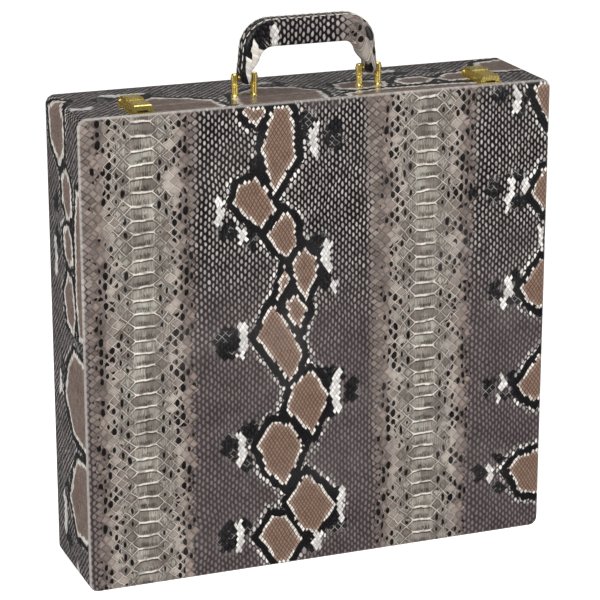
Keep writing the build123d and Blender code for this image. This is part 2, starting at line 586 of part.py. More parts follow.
# ---------------------------------------------------------------------------
# Latches: catch on the lid, sprung lever on the base
# ---------------------------------------------------------------------------
for x0, name in zip(LATCH_X, ("left", "right")):
    with BuildPart() as catch_plate:
        with Locations((x0, (LATCH_FRONT + SEAM - 0.6) / 2, H + PLATE_T / 2)):
            Box(24, SEAM - 0.6 - LATCH_FRONT, PLATE_T)
        with BuildSketch(Plane.YZ.offset(x0 - 5)):
            with BuildLine():
                Polyline((-50, H + PLATE_T), (-49, H + 2.6), (-44, H + 2.6), (-39, H + PLATE_T), close=True)
            make_face()
        extrude(amount=10)
        for s in (-1, 1):
            with Locations((x0 + s * 5.2, -34.5, H + PLATE_T / 2)):
                Cone(1.0, 1.9, PLATE_T, mode=Mode.SUBTRACT)
    save(catch_plate.part, name + "_latch_catch")

    with BuildPart() as latch_base:
        with Locations((x0, (SEAM + 1.1 + LATCH_REAR) / 2, H + PLATE_T / 2)):
            Box(24, LATCH_REAR - SEAM - 1.1, PLATE_T)
        for s in (-1, 1):
            with BuildSketch(Plane.YZ.offset(x0 + s * 6.6 - 0.8)):
                with Locations((LPIV_Y, (H + PLATE_T + LPIV_Z) / 2)):
                    Rectangle(3.6, LPIV_Z - H - PLATE_T)
                with Locations((LPIV_Y, LPIV_Z)):
                    Circle(1.8)
            extrude(amount=1.6)
        with Locations((x0, LPIV_Y, LPIV_Z)):
            Cylinder(LPIN_R, 22, rotation=(0, 90, 0), mode=Mode.SUBTRACT)
        for s in (-1, 1):
            with Locations((x0 + s * 5.2, -22.5, H + PLATE_T / 2)):
                Cone(1.0, 1.9, PLATE_T, mode=Mode.SUBTRACT)
    save(latch_base.part, name + "_latch_base")

    with BuildPart() as latch_pin:
        with Locations((x0, LPIV_Y, LPIV_Z)):
            Cylinder(LPIN_R, 20.4, rotation=(0, 90, 0))
    save(latch_pin.part, name + "_latch_pin")

    with BuildPart() as latch_lever:
        # three stepped layers, widest at the bottom
        for half, z0, z1 in ((10.4, 1.0, 4.4), (9.5, 4.4, 6.4), (8.6, 6.4, 9.4)):
            with Locations((x0, (LATCH_FRONT + LPIV_Y + 4) / 2, H + (z0 + z1) / 2)):
                Box(2 * half, LPIV_Y + 4 - LATCH_FRONT, z1 - z0)
        # side view: stepped top, rear end round about the pivot
        with BuildSketch(Plane.YZ.offset(x0 - 15)):
            with BuildLine():
                Polyline((LPIV_Y, LPIV_Z - 3.3), (LPIV_Y - 1, H + 1.4), (LATCH_FRONT + 0.4, H + 1.4),
                         (LATCH_FRONT + 0.4, H + 7.2), (LATCH_FRONT + 1.2, H + 8.0), (SEAM - 1.4, H + 8.0),
                         (SEAM - 1.0, H + 8.9), (LPIV_Y - 1, H + 8.9), (LPIV_Y + 2.0, LPIV_Z + 2.625))
                ThreePointArc((LPIV_Y + 2.0, LPIV_Z + 2.625), (LPIV_Y + 3.3, LPIV_Z), (LPIV_Y, LPIV_Z - 3.3))
            make_face()
        extrude(amount=30, mode=Mode.INTERSECT)
        # hollow underneath, open at the rear where the ears stand
        with Locations((x0, (LATCH_FRONT + 2.0 + LPIV_Y + 6) / 2, H + 3.8)):
            Box(16.4, LPIV_Y + 6 - LATCH_FRONT - 2.0, 5.6, mode=Mode.SUBTRACT)
        # mouth in the front wall, over the catch's nose
        with Locations((x0, LATCH_FRONT + 1, H + 1.95)):
            Box(10.8, 4, 2.0, mode=Mode.SUBTRACT)
        # two fine grooves along the top plate
        with Locations((x0 - 6.4, -33, H + 8.8), (x0 + 6.4, -33, H + 8.8)):
            Box(0.7, 38, 2.4, mode=Mode.SUBTRACT)
        with Locations((x0, LPIV_Y, LPIV_Z)):
            Cylinder(LPIN_R + LPIN_CLEAR, 30, rotation=(0, 90, 0), mode=Mode.SUBTRACT)
    save(latch_lever.part, name + "_latch_lever")

    with BuildPart() as latch_spring:
        with BuildSketch(Plane.YZ.offset(x0 - 2.8)):
            with BuildLine() as spring_line:
                FilletPolyline((-25.5, H + 1.25), (-15.6, H + 1.25), (-25.8, H + 5.6), radius=0.9)
                offset(amount=0.2, side=Side.BOTH)
            make_face()
        extrude(amount=5.6)
    save(latch_spring.part, name + "_latch_spring")

with BuildPart() as catch_screws:
    for x, y in CATCH_SCREWS:
        with Locations((x, y, H + PLATE_T / 2)):
            Cone(1.0, 1.9, PLATE_T)
        with Locations((x, y, H - 5)):
            Cylinder(1.0, 10)
        with Locations((x, y, H + PLATE_T)):
            Box(2.6, 0.5, 0.6, mode=Mode.SUBTRACT)
save(catch_screws.part, "latch_catch_screws")

with BuildPart() as latch_base_screws:
    for x, y in BASE_LATCH_SCREWS:
        with Locations((x, y, H + PLATE_T / 2)):
            Cone(1.0, 1.9, PLATE_T)
        with Locations((x, y, H - 5)):
            Cylinder(1.0, 10)
        with Locations((x, y, H + PLATE_T)):
            Box(2.6, 0.5, 0.6, mode=Mode.SUBTRACT)
save(latch_base_screws.part, "latch_base_screws")
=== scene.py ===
import json
import math

import bmesh
import bpy
from mathutils import Matrix, Vector, noise


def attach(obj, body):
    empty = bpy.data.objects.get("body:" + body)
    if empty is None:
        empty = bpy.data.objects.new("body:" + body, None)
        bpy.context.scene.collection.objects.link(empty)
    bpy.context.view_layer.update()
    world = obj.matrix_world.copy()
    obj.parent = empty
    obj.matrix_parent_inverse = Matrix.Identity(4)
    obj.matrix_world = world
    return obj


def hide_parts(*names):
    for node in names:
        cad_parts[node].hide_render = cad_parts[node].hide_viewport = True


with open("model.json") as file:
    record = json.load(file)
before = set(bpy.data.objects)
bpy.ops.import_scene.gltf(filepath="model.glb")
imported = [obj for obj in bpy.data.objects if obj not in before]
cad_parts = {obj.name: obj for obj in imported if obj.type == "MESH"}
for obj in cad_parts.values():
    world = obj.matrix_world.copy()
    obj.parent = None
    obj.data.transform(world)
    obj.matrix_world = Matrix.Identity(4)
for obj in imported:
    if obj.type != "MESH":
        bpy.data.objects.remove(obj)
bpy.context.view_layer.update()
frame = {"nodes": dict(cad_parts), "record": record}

NODES = frame["nodes"]

# ---------------------------------------------------------------------------
# Sizes, in millimetres, as in the CAD
# ---------------------------------------------------------------------------
W, D, H = 490.0, 116.0, 480.0
HX, FRONT, BACK = W / 2, -D / 2, D / 2
CORNER_R, EDGE_R, SKIN = 9.0, 3.5, 1.0
SEAM = -28.0
LID_RIM, BASE_RIM = -28.2, -27.8
STRIP_X = HX - CORNER_R
HINGE_X, HINGE_HALF = 150.0, 30.0
HANDLE_Y, HANDLE_X = -16.0, 65.0
PIVOT_Z, END_Z = 498.0, 492.3
LEG_HALF, LEG_OUT, LEG_IN = 5.7, 68.4, 51.0
LEG_NECK, LEG_FULL = 504.6, 507.0
BAR_TOP, BAR_UNDER = 554.0, 526.5
OUT_R, IN_R = 30.0, 14.0


# ---------------------------------------------------------------------------
# Node graphs written as expressions
# ---------------------------------------------------------------------------
class Sock:
    """An output socket that can be used in sums."""

    def __init__(self, g, s):
        self.g, self.s = g, s

    def __add__(self, o):
        return self.g.math("ADD", self, o)

    def __radd__(self, o):
        return self.g.math("ADD", self, o)

    def __sub__(self, o):
        return self.g.math("SUBTRACT", self, o)

    def __rsub__(self, o):
        return self.g.math("SUBTRACT", o, self)

    def __mul__(self, o):
        return self.g.math("MULTIPLY", self, o)

    def __rmul__(self, o):
        return self.g.math("MULTIPLY", self, o)

    def __truediv__(self, o):
        return self.g.math("DIVIDE", self, o)


class Graph:
    def __init__(self, tree):
        self.t, self.n, self.l = tree, tree.nodes, tree.links

    def node(self, kind, **props):
        n = self.n.new(kind)
        for k, v in props.items():
            setattr(n, k, v)
        return n

    def put(self, sock, val):
        if isinstance(val, Sock):
            self.l.new(val.s, sock)
        elif val is not None:
            sock.default_value = val

    def math(self, op, *args, clamp=False):
        n = self.node("ShaderNodeMath", operation=op, use_clamp=clamp)
        for i, a in enumerate(args):
            self.put(n.inputs[i], a)
        return Sock(self, n.outputs[0])

    def least(self, *a):
        out = a[0]
        for b in a[1:]:
            out = self.math("MINIMUM", out, b)
        return out

    def most(self, *a):
        out = a[0]
        for b in a[1:]:
            out = self.math("MAXIMUM", out, b)
        return out

    def floor(self, a):
        return self.math("FLOOR", a)

    def fract(self, a):
        return self.math("FRACT", a)

    def absolute(self, a):
        return self.math("ABSOLUTE", a)

    def vmath(self, op, *args):
        n = self.node("ShaderNodeVectorMath", operation=op)
        for i, a in enumerate(args):
            self.put(n.inputs[i], a)
        return Sock(self, n.outputs["Value" if op in ("LENGTH", "DOT_PRODUCT") else "Vector"])

    def join(self, x=0.0, y=0.0, z=0.0):
        n = self.node("ShaderNodeCombineXYZ")
        for i, a in enumerate((x, y, z)):
            self.put(n.inputs[i], a)
        return Sock(self, n.outputs[0])

    def split(self, v):
        n = self.node("ShaderNodeSeparateXYZ")
        self.put(n.inputs[0], v)
        return [Sock(self, o) for o in n.outputs]

    def ramp(self, x, a, b, lo=0.0, hi=1.0, kind="SMOOTHSTEP"):
        """lo at a, hi at b, smooth between; a may be above b."""
        if a > b:
            a, b, lo, hi = b, a, hi, lo
        n = self.node("ShaderNodeMapRange", interpolation_type=kind, clamp=True)
        for i, v in enumerate((x, a, b, lo, hi)):
            self.put(n.inputs[i], v)
        return Sock(self, n.outputs[0])

    def mix(self, f, a, b, mode="MIX"):
        n = self.node("ShaderNodeMix", data_type="RGBA", blend_type=mode)
        for i, v in ((0, f), (6, a), (7, b)):
            if isinstance(v, tuple):
                v = (*v, 1.0) if len(v) == 3 else v
            self.put(n.inputs[i], v)
        return Sock(self, n.outputs[2])

    def noise(self, vec, scale, detail=2.0, rough=0.5, distort=0.0, colour=False):
        n = self.node("ShaderNodeTexNoise")
        self.put(n.inputs["Vector"], vec)
        for k, v in (("Scale", scale), ("Detail", detail), ("Roughness", rough), ("Distortion", distort)):
            self.put(n.inputs[k], v)
        return Sock(self, n.outputs["Color" if colour else "Fac"])

    def white(self, vec):
        n = self.node("ShaderNodeTexWhiteNoise", noise_dimensions="3D")
        self.put(n.inputs["Vector"], vec)
        return self.split(Sock(self, n.outputs["Color"]))

    def voronoi(self, vec, scale, feature="F1", out="Distance"):
        n = self.node("ShaderNodeTexVoronoi", feature=feature)
        self.put(n.inputs["Vector"], vec)
        self.put(n.inputs["Scale"], scale)
        return Sock(self, n.outputs[out])

    def place(self):
        """The piece's own coordinates, in millimetres."""
        n = self.node("ShaderNodeTexCoord")
        return self.scale(Sock(self, n.outputs["Object"]), 1000.0)

    def scale(self, v, k):
        n = self.node("ShaderNodeVectorMath", operation="SCALE")
        self.put(n.inputs[0], v)
        n.inputs["Scale"].default_value = k
        return Sock(self, n.outputs["Vector"])


def lin(r, g, b):
    """An 8-bit screen colour as a linear one."""
    return tuple((c / 255 / 12.92) if c <= 10 else ((c / 255 + 0.055) / 1.055) ** 2.4 for c in (r, g, b))


def use(g, group, **values):
    n = g.node("ShaderNodeGroup")
    n.node_tree = group
    for k, v in values.items():
        g.put(n.inputs[k], v)
    return {o.name: Sock(g, o) for o in n.outputs}


def new_group(name, ins, outs):
    t = bpy.data.node_groups.new(name, "ShaderNodeTree")
    for k in ins:
        t.interface.new_socket(k, in_out="INPUT", socket_type="NodeSocketFloat")
    for k, kind in outs.items():
        t.interface.new_socket(k, in_out="OUTPUT", socket_type=kind)
    g = Graph(t)
    gi, go = g.node("NodeGroupInput"), g.node("NodeGroupOutput")
    return t, g, {o.name: Sock(g, o) for o in gi.outputs if o.name}, go


def new_material(name):
    m = bpy.data.materials.new(name)
    m.use_nodes = True
    m.node_tree.nodes.clear()
    g = Graph(m.node_tree)
    out = g.node("ShaderNodeOutputMaterial")
    bsdf = g.node("ShaderNodeBsdfPrincipled")
    g.l.new(bsdf.outputs[0], out.inputs[0])
    return m, g, bsdf


def bump(g, bsdf, height, distance, strength=1.0):
    n = g.node("ShaderNodeBump")
    n.inputs["Strength"].default_value = strength
    n.inputs["Distance"].default_value = distance
    g.put(n.inputs["Height"], height)
    g.l.new(n.outputs[0], bsdf.inputs["Normal"])


# ---------------------------------------------------------------------------
# The printed snakeskin: all lengths in millimetres on the flat sheet, U across
# the skin and V along it.  Two broad belly ladders, flanks of pale diamond
# scales, a dark dotted back and a chain of brown saddles edged with white.
# ---------------------------------------------------------------------------
LADDER_U, PERIOD_U, PERIOD_V = -184.0, 295.0, 494.0

# brown saddles of the chain, as convex outlines on the sheet
SADDLES = [
    [(-80, 478), (-58, 476), (-59, 468), (-67, 461), (-73, 463), (-79, 470)],
    [(-50, 477), (-35, 476), (-27, 446), (-28, 426), (-51, 389), (-63, 437)],
    [(-69, 408), (-58, 394), (-49, 376), (-64, 356), (-92, 385), (-88, 400)],
    [(-40, 371), (-29, 361), (-26, 336), (-36, 324), (-49, 334), (-59, 350)],
    [(-18, 333), (-7, 322), (-4, 307), (-18, 280), (-27, 297), (-30, 317)],
    [(-40, 315), (-34, 304), (-35, 298), (-47, 282), (-49, 286), (-43, 303)],
    [(-29, 287), (-17, 271), (-24, 250), (-35, 264), (-38, 278)],
    [(-52, 278), (-41, 261), (-29, 243), (-20, 221), (-34, 195), (-69, 247)],
    [(-14, 204), (-5, 198), (7, 172), (-10, 137), (-38, 167), (-30, 191)],
    [(-52, 155), (-34, 152), (-20, 125), (-39, 85), (-58, 105), (-68, 134)],
    [(-17, 94), (3, 77), (15, 56), (-5, 30), (-22, 35), (-37, 68)],
    [(-55, 54), (-38, 52), (-21, 21), (-38, 2), (-49, 5), (-66, 34)],
    # the next chain, which the front's edge cuts
    [(227, 474), (246, 478), (264, 456), (258, 428), (244, 432), (231, 458)],
    [(231, 374), (239, 388), (252, 390), (264, 364), (248, 337), (228, 362)],
    [(219, 264), (239, 293), (254, 290), (262, 256), (240, 239), (226, 249)],
    [(218, 160), (243, 192), (258, 184), (262, 156), (238, 139), (224, 147)],
    [(208, 69), (221, 82), (244, 86), (258, 64), (246, 36), (223, 41)],
    # the chain that the strip round the case is cut from
    [(-402, 290), (-348, 286), (-326, 316), (-340, 346), (-354, 364), (-402, 372)],
    [(-402, 384), (-344, 392), (-320, 426), (-332, 458), (-352, 476), (-402, 472)],
    [(-352, 4), (-334, 10), (-326, 36), (-338, 58), (-354, 52), (-359, 24)],
    [(-344, 70), (-332, 78), (-330, 100), (-342, 108), (-354, 98), (-355, 76)],
    [(-344, 116), (-330, 130), (-328, 154), (-342, 162), (-355, 150), (-356, 124)],
    [(-320, 166), (-292, 184), (-286, 212), (-308, 230), (-336, 212), (-334, 180)],
    [(-410, 4), (-374, 6), (-368, 44), (-370, 114), (-378, 150), (-410, 152)],
]
# pale clusters and black blots beside the chain: centre and half sizes
CLUSTERS = [
    (-108, 378, 6, 14), (-85, 350, 7, 9), (-7, 441, 6, 18), (7, 321, 7, 17), (14, 287, 5, 7), (-85, 246, 7, 20),
    (17, 179, 7, 23), (-87, 131, 7, 20), (23, 56, 5, 20), (-89, 37, 6, 18), (-4, 20, 7, 10),
    (206, 461, 6, 14), (203, 370, 6, 13), (200, 353, 4, 7), (218, 370, 5, 7), (238, 318, 3, 11), (203, 267, 6, 12),
    (198, 252, 4, 6), (198, 165, 6, 8), (194, 148, 4, 6), (187, 66, 5, 9),
    (-303, 292, 8, 22), (-344, 240, 7, 11), (-296, 66, 8, 20), (-300, 432, 6, 13),
]
BLOTS = [
    (-16, 455, 11, 14), (-98, 357, 10, 10), (-75, 346, 7, 11), (-6, 336, 12, 10), (2, 298, 8, 9), (-69, 420, 9, 8),
    (12, 443, 10, 15), (-100, 243, 14, 16), (10, 196, 13, 9), (9, 160, 10, 9), (31, 178, 9, 13), (-78, 147, 12, 11),
    (-98, 136, 10, 14), (-82, 115, 8, 8), (14, 38, 12, 11), (15, 69, 9, 8), (-100, 37, 12, 16), (-82, 46, 9, 9),
    (-12, 16, 9, 7), (189, 468, 11, 8), (220, 467, 6, 8), (210, 451, 7, 7), (186, 371, 8, 13), (210, 384, 10, 6),
    (213, 355, 10, 9), (163, 372, 4, 7), (189, 265, 8, 12), (212, 278, 8, 7), (211, 253, 8, 6), (184, 161, 6, 10),
    (210, 169, 5, 8), (207, 150, 9, 5), (176, 68, 7, 9), (199, 84, 7, 6), (199, 48, 8, 6),
    (-316, 268, 10, 12), (-314, 316, 8, 14), (-306, 84, 9, 16), (-306, 122, 8, 10), (-310, 452, 8, 10),
]


def half_planes(poly):
    """Six outward half planes (nx, ny, c) of a convex outline, the last ones repeated."""
    area = sum(a[0] * b[1] - b[0] * a[1] for a, b in zip(poly, poly[1:] + poly[:1]))
    if area < 0:
        poly = poly[::-1]
    out = []
    for a, b in zip(poly, poly[1:] + poly[:1]):
        dx, dy = b[0] - a[0], b[1] - a[1]
        k = math.hypot(dx, dy)
        nx, ny = dy / k, -dx / k
        out.append((nx, ny, -(nx * a[0] + ny * a[1])))
    while len(out) < 6:
        out.append(out[-1])
    return out[:6]


def saddle_field(g, u, v):
    """How far a point is outside the nearest saddle, negative inside."""
    uu, vv = g.join(u, u, u), g.join(v, v, v)
    best = None
    for poly in SADDLES:
        hp = half_planes(poly)
        parts = []
        for three in (hp[:3], hp[3:]):
            a = tuple(h[0] for h in three)
            b = tuple(h[1] for h in three)
            c = tuple(h[2] for h in three)
            parts.append(g.vmath("MULTIPLY_ADD", vv, b, g.vmath("MULTIPLY_ADD", uu, a, c)))
        x, y, z = g.split(g.vmath("MAXIMUM", parts[0], parts[1]))
        f = g.most(x, y, z)
        best = f if best is None else g.least(best, f)
    return best


def ellipse_field(g, vec, ellipses):
    best = None
    for cu, cv, hu, hv in ellipses:
        q = g.vmath("MULTIPLY_ADD", vec, (1 / hu, 1 / hv, 0.0), (-cu / hu, -cv / hv, 0.0))
        f = (g.vmath("LENGTH", q) - 1.0) * ((hu + hv) / 2)
        best = f if best is None else g.least(best, f)
    return best


def crescent_field(g, vec, ellipses):
    """Like ellipse_field, each ellipse hollowed on the side away from the chain."""
    best = None
    for cu, cv, hu, hv in ellipses:
        away = -1.0 if -200 < cu < -36 or cu > 186 else 1.0
        q = g.vmath("MULTIPLY_ADD", vec, (1 / hu, 1 / hv, 0.0), (-cu / hu, -cv / hv, 0.0))
        hollow = g.vmath("LENGTH", g.vmath("ADD", q, (-away * 1.05, 0.0, 0.0)))
        f = g.most(g.vmath("LENGTH", q) - 1.0, 0.80 - hollow) * ((hu + hv) / 2)
        best = f if best is None else g.least(best, f)
    return best


def scales(g, S, y):
    """Diamond cells: their numbers, distance from the rim, and the place in the cell, -1 to 1 both ways."""
    p, q = S + y, S - y
    ip, iq = g.floor(p), g.floor(q)
    fp, fq = p - ip, q - iq
    e = g.least(fp, 1.0 - fp, fq, 1.0 - fq)
    return ip, iq, e, fp + fq - 1.0, fp - fq


def oval(g, dx, dy, rx, ry):
    """1 on the rim of an ellipse in a cell."""
    a, b = dx / rx, dy / ry
    return g.math("SQRT", a * a + b * b)


def make_snake():
    t, g, i, go = new_group(
        "snake_print", ["U", "V", "Tone"],
        {"Color": "NodeSocketColor", "Height": "NodeSocketFloat", "Gloss": "NodeSocketFloat"})
    U, V = i["U"], i["V"]
    flat = g.join(U, V, 0.0)
    wob = g.split(g.noise(flat, 0.021, 1.0, colour=True))
    jit = g.split(g.noise(g.join(U, V, 71.0), 0.11, 1.0, colour=True))
    u = (wob[0] - 0.5) * 6.0 + (jit[0] - 0.5) * 2.6 + U
    v = (wob[1] - 0.5) * 5.0 + (jit[1] - 0.5) * 2.6 + V
    cloudy = g.noise(flat, 0.033, 3.0, 0.6)
    patchy = g.noise(g.join(U, V, 37.0), 0.085, 2.0, 0.6)
    vm = g.math("FLOORED_MODULO", v, PERIOD_V)
    # the upper half of every repeat is crisp and pale, the lower one duller
    crisp = g.ramp(vm + (cloudy - 0.5) * 110.0, 215, 365) * g.ramp(vm + g.absolute(cloudy - 0.5) * 90.0, 494, 472)
    crisp = crisp + (1.0 - crisp) * g.least(i["Tone"] * 2.4, 1.0)

    # ---- lattice A: belly scutes and the first flank scales
    turn = g.floor((u - LADDER_U) / PERIOD_U)
    tt = u - LADDER_U - turn * PERIOD_U
    far = g.math("GREATER_THAN", tt, PERIOD_U / 2)
    d = g.least(tt, PERIOD_U - tt)
    key = far * 7.3 + turn * 3.1
    x = g.most(d - 9.5, 0.0)
    s = x / (16.2 - g.least(x, 60.0) * 0.120)
    y = v / 13.5
    ip, iq, ea, dxa, dya = scales(g, s, y)
    ra = g.white(g.join(ip, iq, key))
    scute = g.math("LESS_THAN", ip + iq + 1.0, 0.5)
    fy = g.fract(y)
    streak = g.noise(g.join(u * 0.9, v * 0.09, 3.0), 1.0, 2.0, 0.6)
    fill_a = g.mix(g.ramp(ra[0], 0.0, 1.0, 0.0, 1.0), lin(174, 168, 157), lin(124, 115, 107))
    fill_a = g.mix(g.ramp(streak, 0.38, 0.64, 0.0, 0.8), fill_a, lin(98, 89, 82))
    fill_a = g.mix(g.ramp(cloudy, 0.52, 0.68, 0.0, 0.5), fill_a, lin(168, 168, 158))
    # the low, worn middle of each belly scute
    dash = g.noise(g.join(u * 1.3, v * 0.25, 9.0), 1.0, 1.0)
    tall = g.white(g.join(g.floor(y), key, 8.0))
    low = g.ramp(fy - tall[0] * 0.16, 0.42, 0.24) * g.ramp(fy, 0.07, 0.15) * g.ramp(d + tall[1] * 4.0, 13, 7) * g.ramp(dash, 0.37, 0.52)
    fill_a = g.mix(low * (0.55 + tall[2] * 0.4), fill_a, lin(48, 40, 36))
    under = g.ramp(fy, 0.78, 0.87) * g.ramp(fy, 0.98, 0.93) * g.ramp(d, 18, 10)
    fill_a = g.mix(under * 0.85, fill_a, lin(52, 44, 40))
    corner = g.ramp(ea, 0.30, 0.12) * g.ramp(d, 9, 13) * g.ramp(cloudy, 0.30, 0.55)
    fill_a = g.mix(corner * 0.70, fill_a, lin(74, 64, 59))
    clump = g.noise(g.join(u, v, 53.0), 0.055, 2.0, 0.55)
    speck = g.math("LESS_THAN", ra[1], g.ramp(clump, 0.42, 0.58, 0.16, 0.92)) * (1.0 - scute)
    spot = g.ramp(oval(g, dxa, dya, 0.24, 0.50) + (ra[2] - 0.5) * 0.6, 1.12, 0.88) * speck
    fill_a = g.mix(spot, fill_a, lin(16, 13, 13))
    wide = g.ramp(d, 8, 13, 1.0, 0.50)
    line_a = g.ramp((ea + (streak - 0.5) * 0.07 + (tall[2] - 0.5) * 0.03) / wide, 0.088, 0.045)
    worn = g.ramp(jit[2], 0.36, 0.54, 0.25, 1.0) * g.ramp(d, 9, 15, 1.0, 0.66)
    colour_a = g.mix(line_a * worn, fill_a, lin(222, 213, 203))
    height_a = line_a * 0.6 + g.ramp(ea, 0.08, 0.4) * 0.5

    # ---- lattice M: the rounder scales of the flank
    xm = d - 20.0
    sm = xm / (13.0 - g.least(xm, 60.0) * 0.053)
    ipm, iqm, em, dxm, dym = scales(g, sm, v / 10.2)
    rm = g.white(g.join(ipm, iqm, key + 5.0))
    scm = (ipm + iqm + 1.0) * 0.5
    dm = 20.0 + scm * 13.0 / (1.0 + scm * 0.053)
    fill_m = g.mix(g.ramp(dm, 28, 46), lin(172, 163, 153), lin(144, 129, 121))
    fill_m = g.mix(g.ramp(rm[0], 0.2, 1.0, 0.0, 0.65), fill_m, lin(98, 87, 82))
    shade = g.ramp(dxm * (far * 2.0 - 1.0), -0.2, 0.7) * g.ramp(clump, 0.40, 0.58)
    fill_m = g.mix(shade * 0.75, fill_m, lin(52, 45, 43))
    fill_m = g.mix(g.ramp(em, 0.22, 0.08) * 0.5, fill_m, lin(84, 73, 68))
    many = g.ramp(dm, 24, 32, 0.5, 1.0) * g.ramp(clump, 0.40, 0.58, 0.14, 0.88)
    spot_m = g.ramp(oval(g, dxm, dym, 0.36, 0.68) + (rm[2] - 0.5) * 0.6, 1.12, 0.88) * g.math("LESS_THAN", rm[1], many)
    fill_m = g.mix(spot_m, fill_m, lin(17, 14, 15))
    line_m = g.ramp(em + (streak - 0.5) * 0.04, 0.075, 0.03)
    pale = g.ramp(dm + (patchy - 0.5) * 16.0, 43, 33)
    colour_m = g.mix(line_m * (0.42 + pale * 0.50), fill_m, g.mix(pale, lin(62, 53, 50), lin(204, 192, 180)))
    height_m = g.ramp(em, 0.0, 0.35)

    # ---- lattice B: the dotted back, running on across the middle between two ladders
    xb = d - 45.0
    sb = g.least(xb, 30.0) / (9.8 - g.least(xb, 30.0) * 0.0447) + g.most(xb - 30.0, 0.0) / 7.283
    S = sb + far * (27.0 - sb * 2.0)
    ipb, iqb, eb, dx, dy = scales(g, S, v / 7.15)
    rb = g.white(g.join(ipb, iqb, 1.0 + turn * 3.1))
    Sc = (ipb + iqb + 1.0) * 0.5
    farc = g.math("GREATER_THAN", Sc, 13.5)
    sc = g.least(Sc, 27.0 - Sc)
    sc1 = g.least(sc, 3.546)
    db = 45.0 + 9.8 * sc1 / (1.0 + sc1 * 0.0447) + g.most(sc - 3.546, 0.0) * 7.283
    ub = LADDER_U + turn * PERIOD_U + db + farc * (PERIOD_U - db * 2.0)
    vb = (ipb - iqb) * 3.575

    # ---- lattice C: the fine scales of the saddles
    ipc, iqc, ec, dxc, dyc = scales(g, u / 4.1, v / 6.3)
    rc = g.white(g.join(ipc, iqc, 2.0))
    uc, vc = (ipc + iqc + 1.0) * 2.05, (ipc - iqc) * 3.15
    # sawn along the scales on most of the outline, smooth on the rest
    keen = g.ramp(patchy, 0.44, 0.56, 0.35, 1.0)
    uf, vf = u + (uc - u) * keen, v + (vc - v) * keen
    F = saddle_field(g, uf, g.math("FLOORED_MODULO", vf, PERIOD_V)) + (rc[0] - 0.5) * 1.2 + 1.9
    vecb = g.join(ub, g.math("FLOORED_MODULO", vb, PERIOD_V), 0.0)
    E = ellipse_field(g, vecb, BLOTS)
    C = crescent_field(g, g.join(uc, g.math("FLOORED_MODULO", vc, PERIOD_V), 0.0), CLUSTERS)

    dark = g.ramp(db + (cloudy - 0.5) * 16.0 - (vm - 250.0) * 0.03 + g.ramp(vm, 474, 494) * 14.8 - farc * 10.0, 40, 56)
    near = g.ramp(F - 9.5, 7.0, 1.0)
    cluster = g.math("LESS_THAN", C + (rc[2] - 0.5) * 3.0, 0.0)
    l1 = g.absolute(dx) + g.absolute(dy)
    ring = oval(g, dx, dy, 0.29 + near * 0.15, 0.64 + near * 0.08)
    rr = l1 * 1.10 + (ring - l1 * 1.10) * g.ramp(dark, 0.2, 0.9)
    rr = rr + (rb[0] - 0.5) * 0.22
    dot = g.ramp(rr, 1.24, 0.72)
    bright = crisp * g.ramp(rb[1], 0.0, 1.0, 1.0, 0.5) * g.ramp(patchy, 0.30, 0.62, 0.55, 1.0)
    dot_col = g.mix(bright, lin(116, 106, 104), lin(186, 177, 173))
    dot_col = g.mix(dark, g.mix(rb[1] * 0.8, lin(146, 133, 124), lin(92, 81, 77)), dot_col)
    dot_col = g.mix(near * dark * g.ramp(rb[1], 0.95, 0.35, 0.1, 1.0), dot_col, lin(232, 228, 221))
    ground = g.mix(dark, lin(54, 46, 43), g.mix(crisp, lin(64, 55, 57), lin(17, 14, 16)))
    colour_b = g.mix(dot, ground, dot_col)
    blot = g.ramp(E + (rb[2] - 0.5) * 3.0, 0.6, -0.6) * (1.0 - cluster)
    faint = g.mix(dot * 0.22, lin(13, 12, 15), lin(70, 66, 68))
    colour_b = g.mix(blot, colour_b, faint)
    # thin white nets round a few black scales by the blots
    net = g.ramp(l1, 0.84, 0.98) * g.ramp(E, 4.0, 0.0) * g.ramp(patchy, 0.50, 0.60) * dark
    colour_b = g.mix(net * 0.7, colour_b, lin(196, 192, 186))
    height_b = g.ramp(rr, 1.2, 0.3)

    # ---- saddles, their white teeth and the black band round them
    band = g.ramp(F + (cloudy - 0.5) * 7.0 - i["Tone"] * 7.0, 9.8, 9.2)
    band_col = g.mix(g.ramp(ec, 0.10, 0.35, 0.0, 0.10), lin(13, 11, 14), lin(80, 76, 80))
    colour_c = g.mix(band, colour_b, band_col)
    pale_col = g.mix(rc[1] * 0.7 + (patchy - 0.5), lin(242, 240, 236), lin(168, 162, 158))
    pale_col = g.mix(g.ramp(ec, 0.13, 0.04, 0.0, 0.6), pale_col, lin(120, 112, 108))
    colour_c = g.mix(cluster, colour_c, pale_col)
    thick = g.ramp(rc[2], 0.0, 1.0, 1.7, 3.0) + i["Tone"] * 8.0
    teeth = g.ramp(F - thick, 0.15, -0.15)
    tooth_col = g.mix(rc[1] * 0.6, lin(240, 236, 228), lin(190, 176, 160))
    tooth_col = g.mix(g.ramp(ec, 0.16, 0.05) * (1.0 - i["Tone"] * 1.8), tooth_col, lin(92, 80, 72))
    colour_c = g.mix(teeth, colour_c, tooth_col)
    inside = g.ramp(F, 0.15, -0.15)
    brown = g.mix(g.ramp(cloudy, 0.3, 0.7), lin(152, 121, 102), lin(124, 101, 86))
    brown = g.mix(rc[1] * 0.30, brown, lin(108, 84, 71))
    brown = g.mix(g.ramp(F, -4.0, -0.5, 0.0, 0.35), brown, lin(192, 165, 147))
    brown = g.mix(g.ramp(ec, 0.17, 0.07, 0.0, 0.85), brown, lin(70, 53, 46))
    # painted sheen: on the strip and the handle the saddles' browns are turned grey-brown, standing in for the sheen
    # over them
    brown = g.mix(i["Tone"] * 1.6, brown, g.mix(rc[1], lin(138, 126, 120), lin(108, 98, 94)))
    colour_c = g.mix(inside, colour_c, brown)

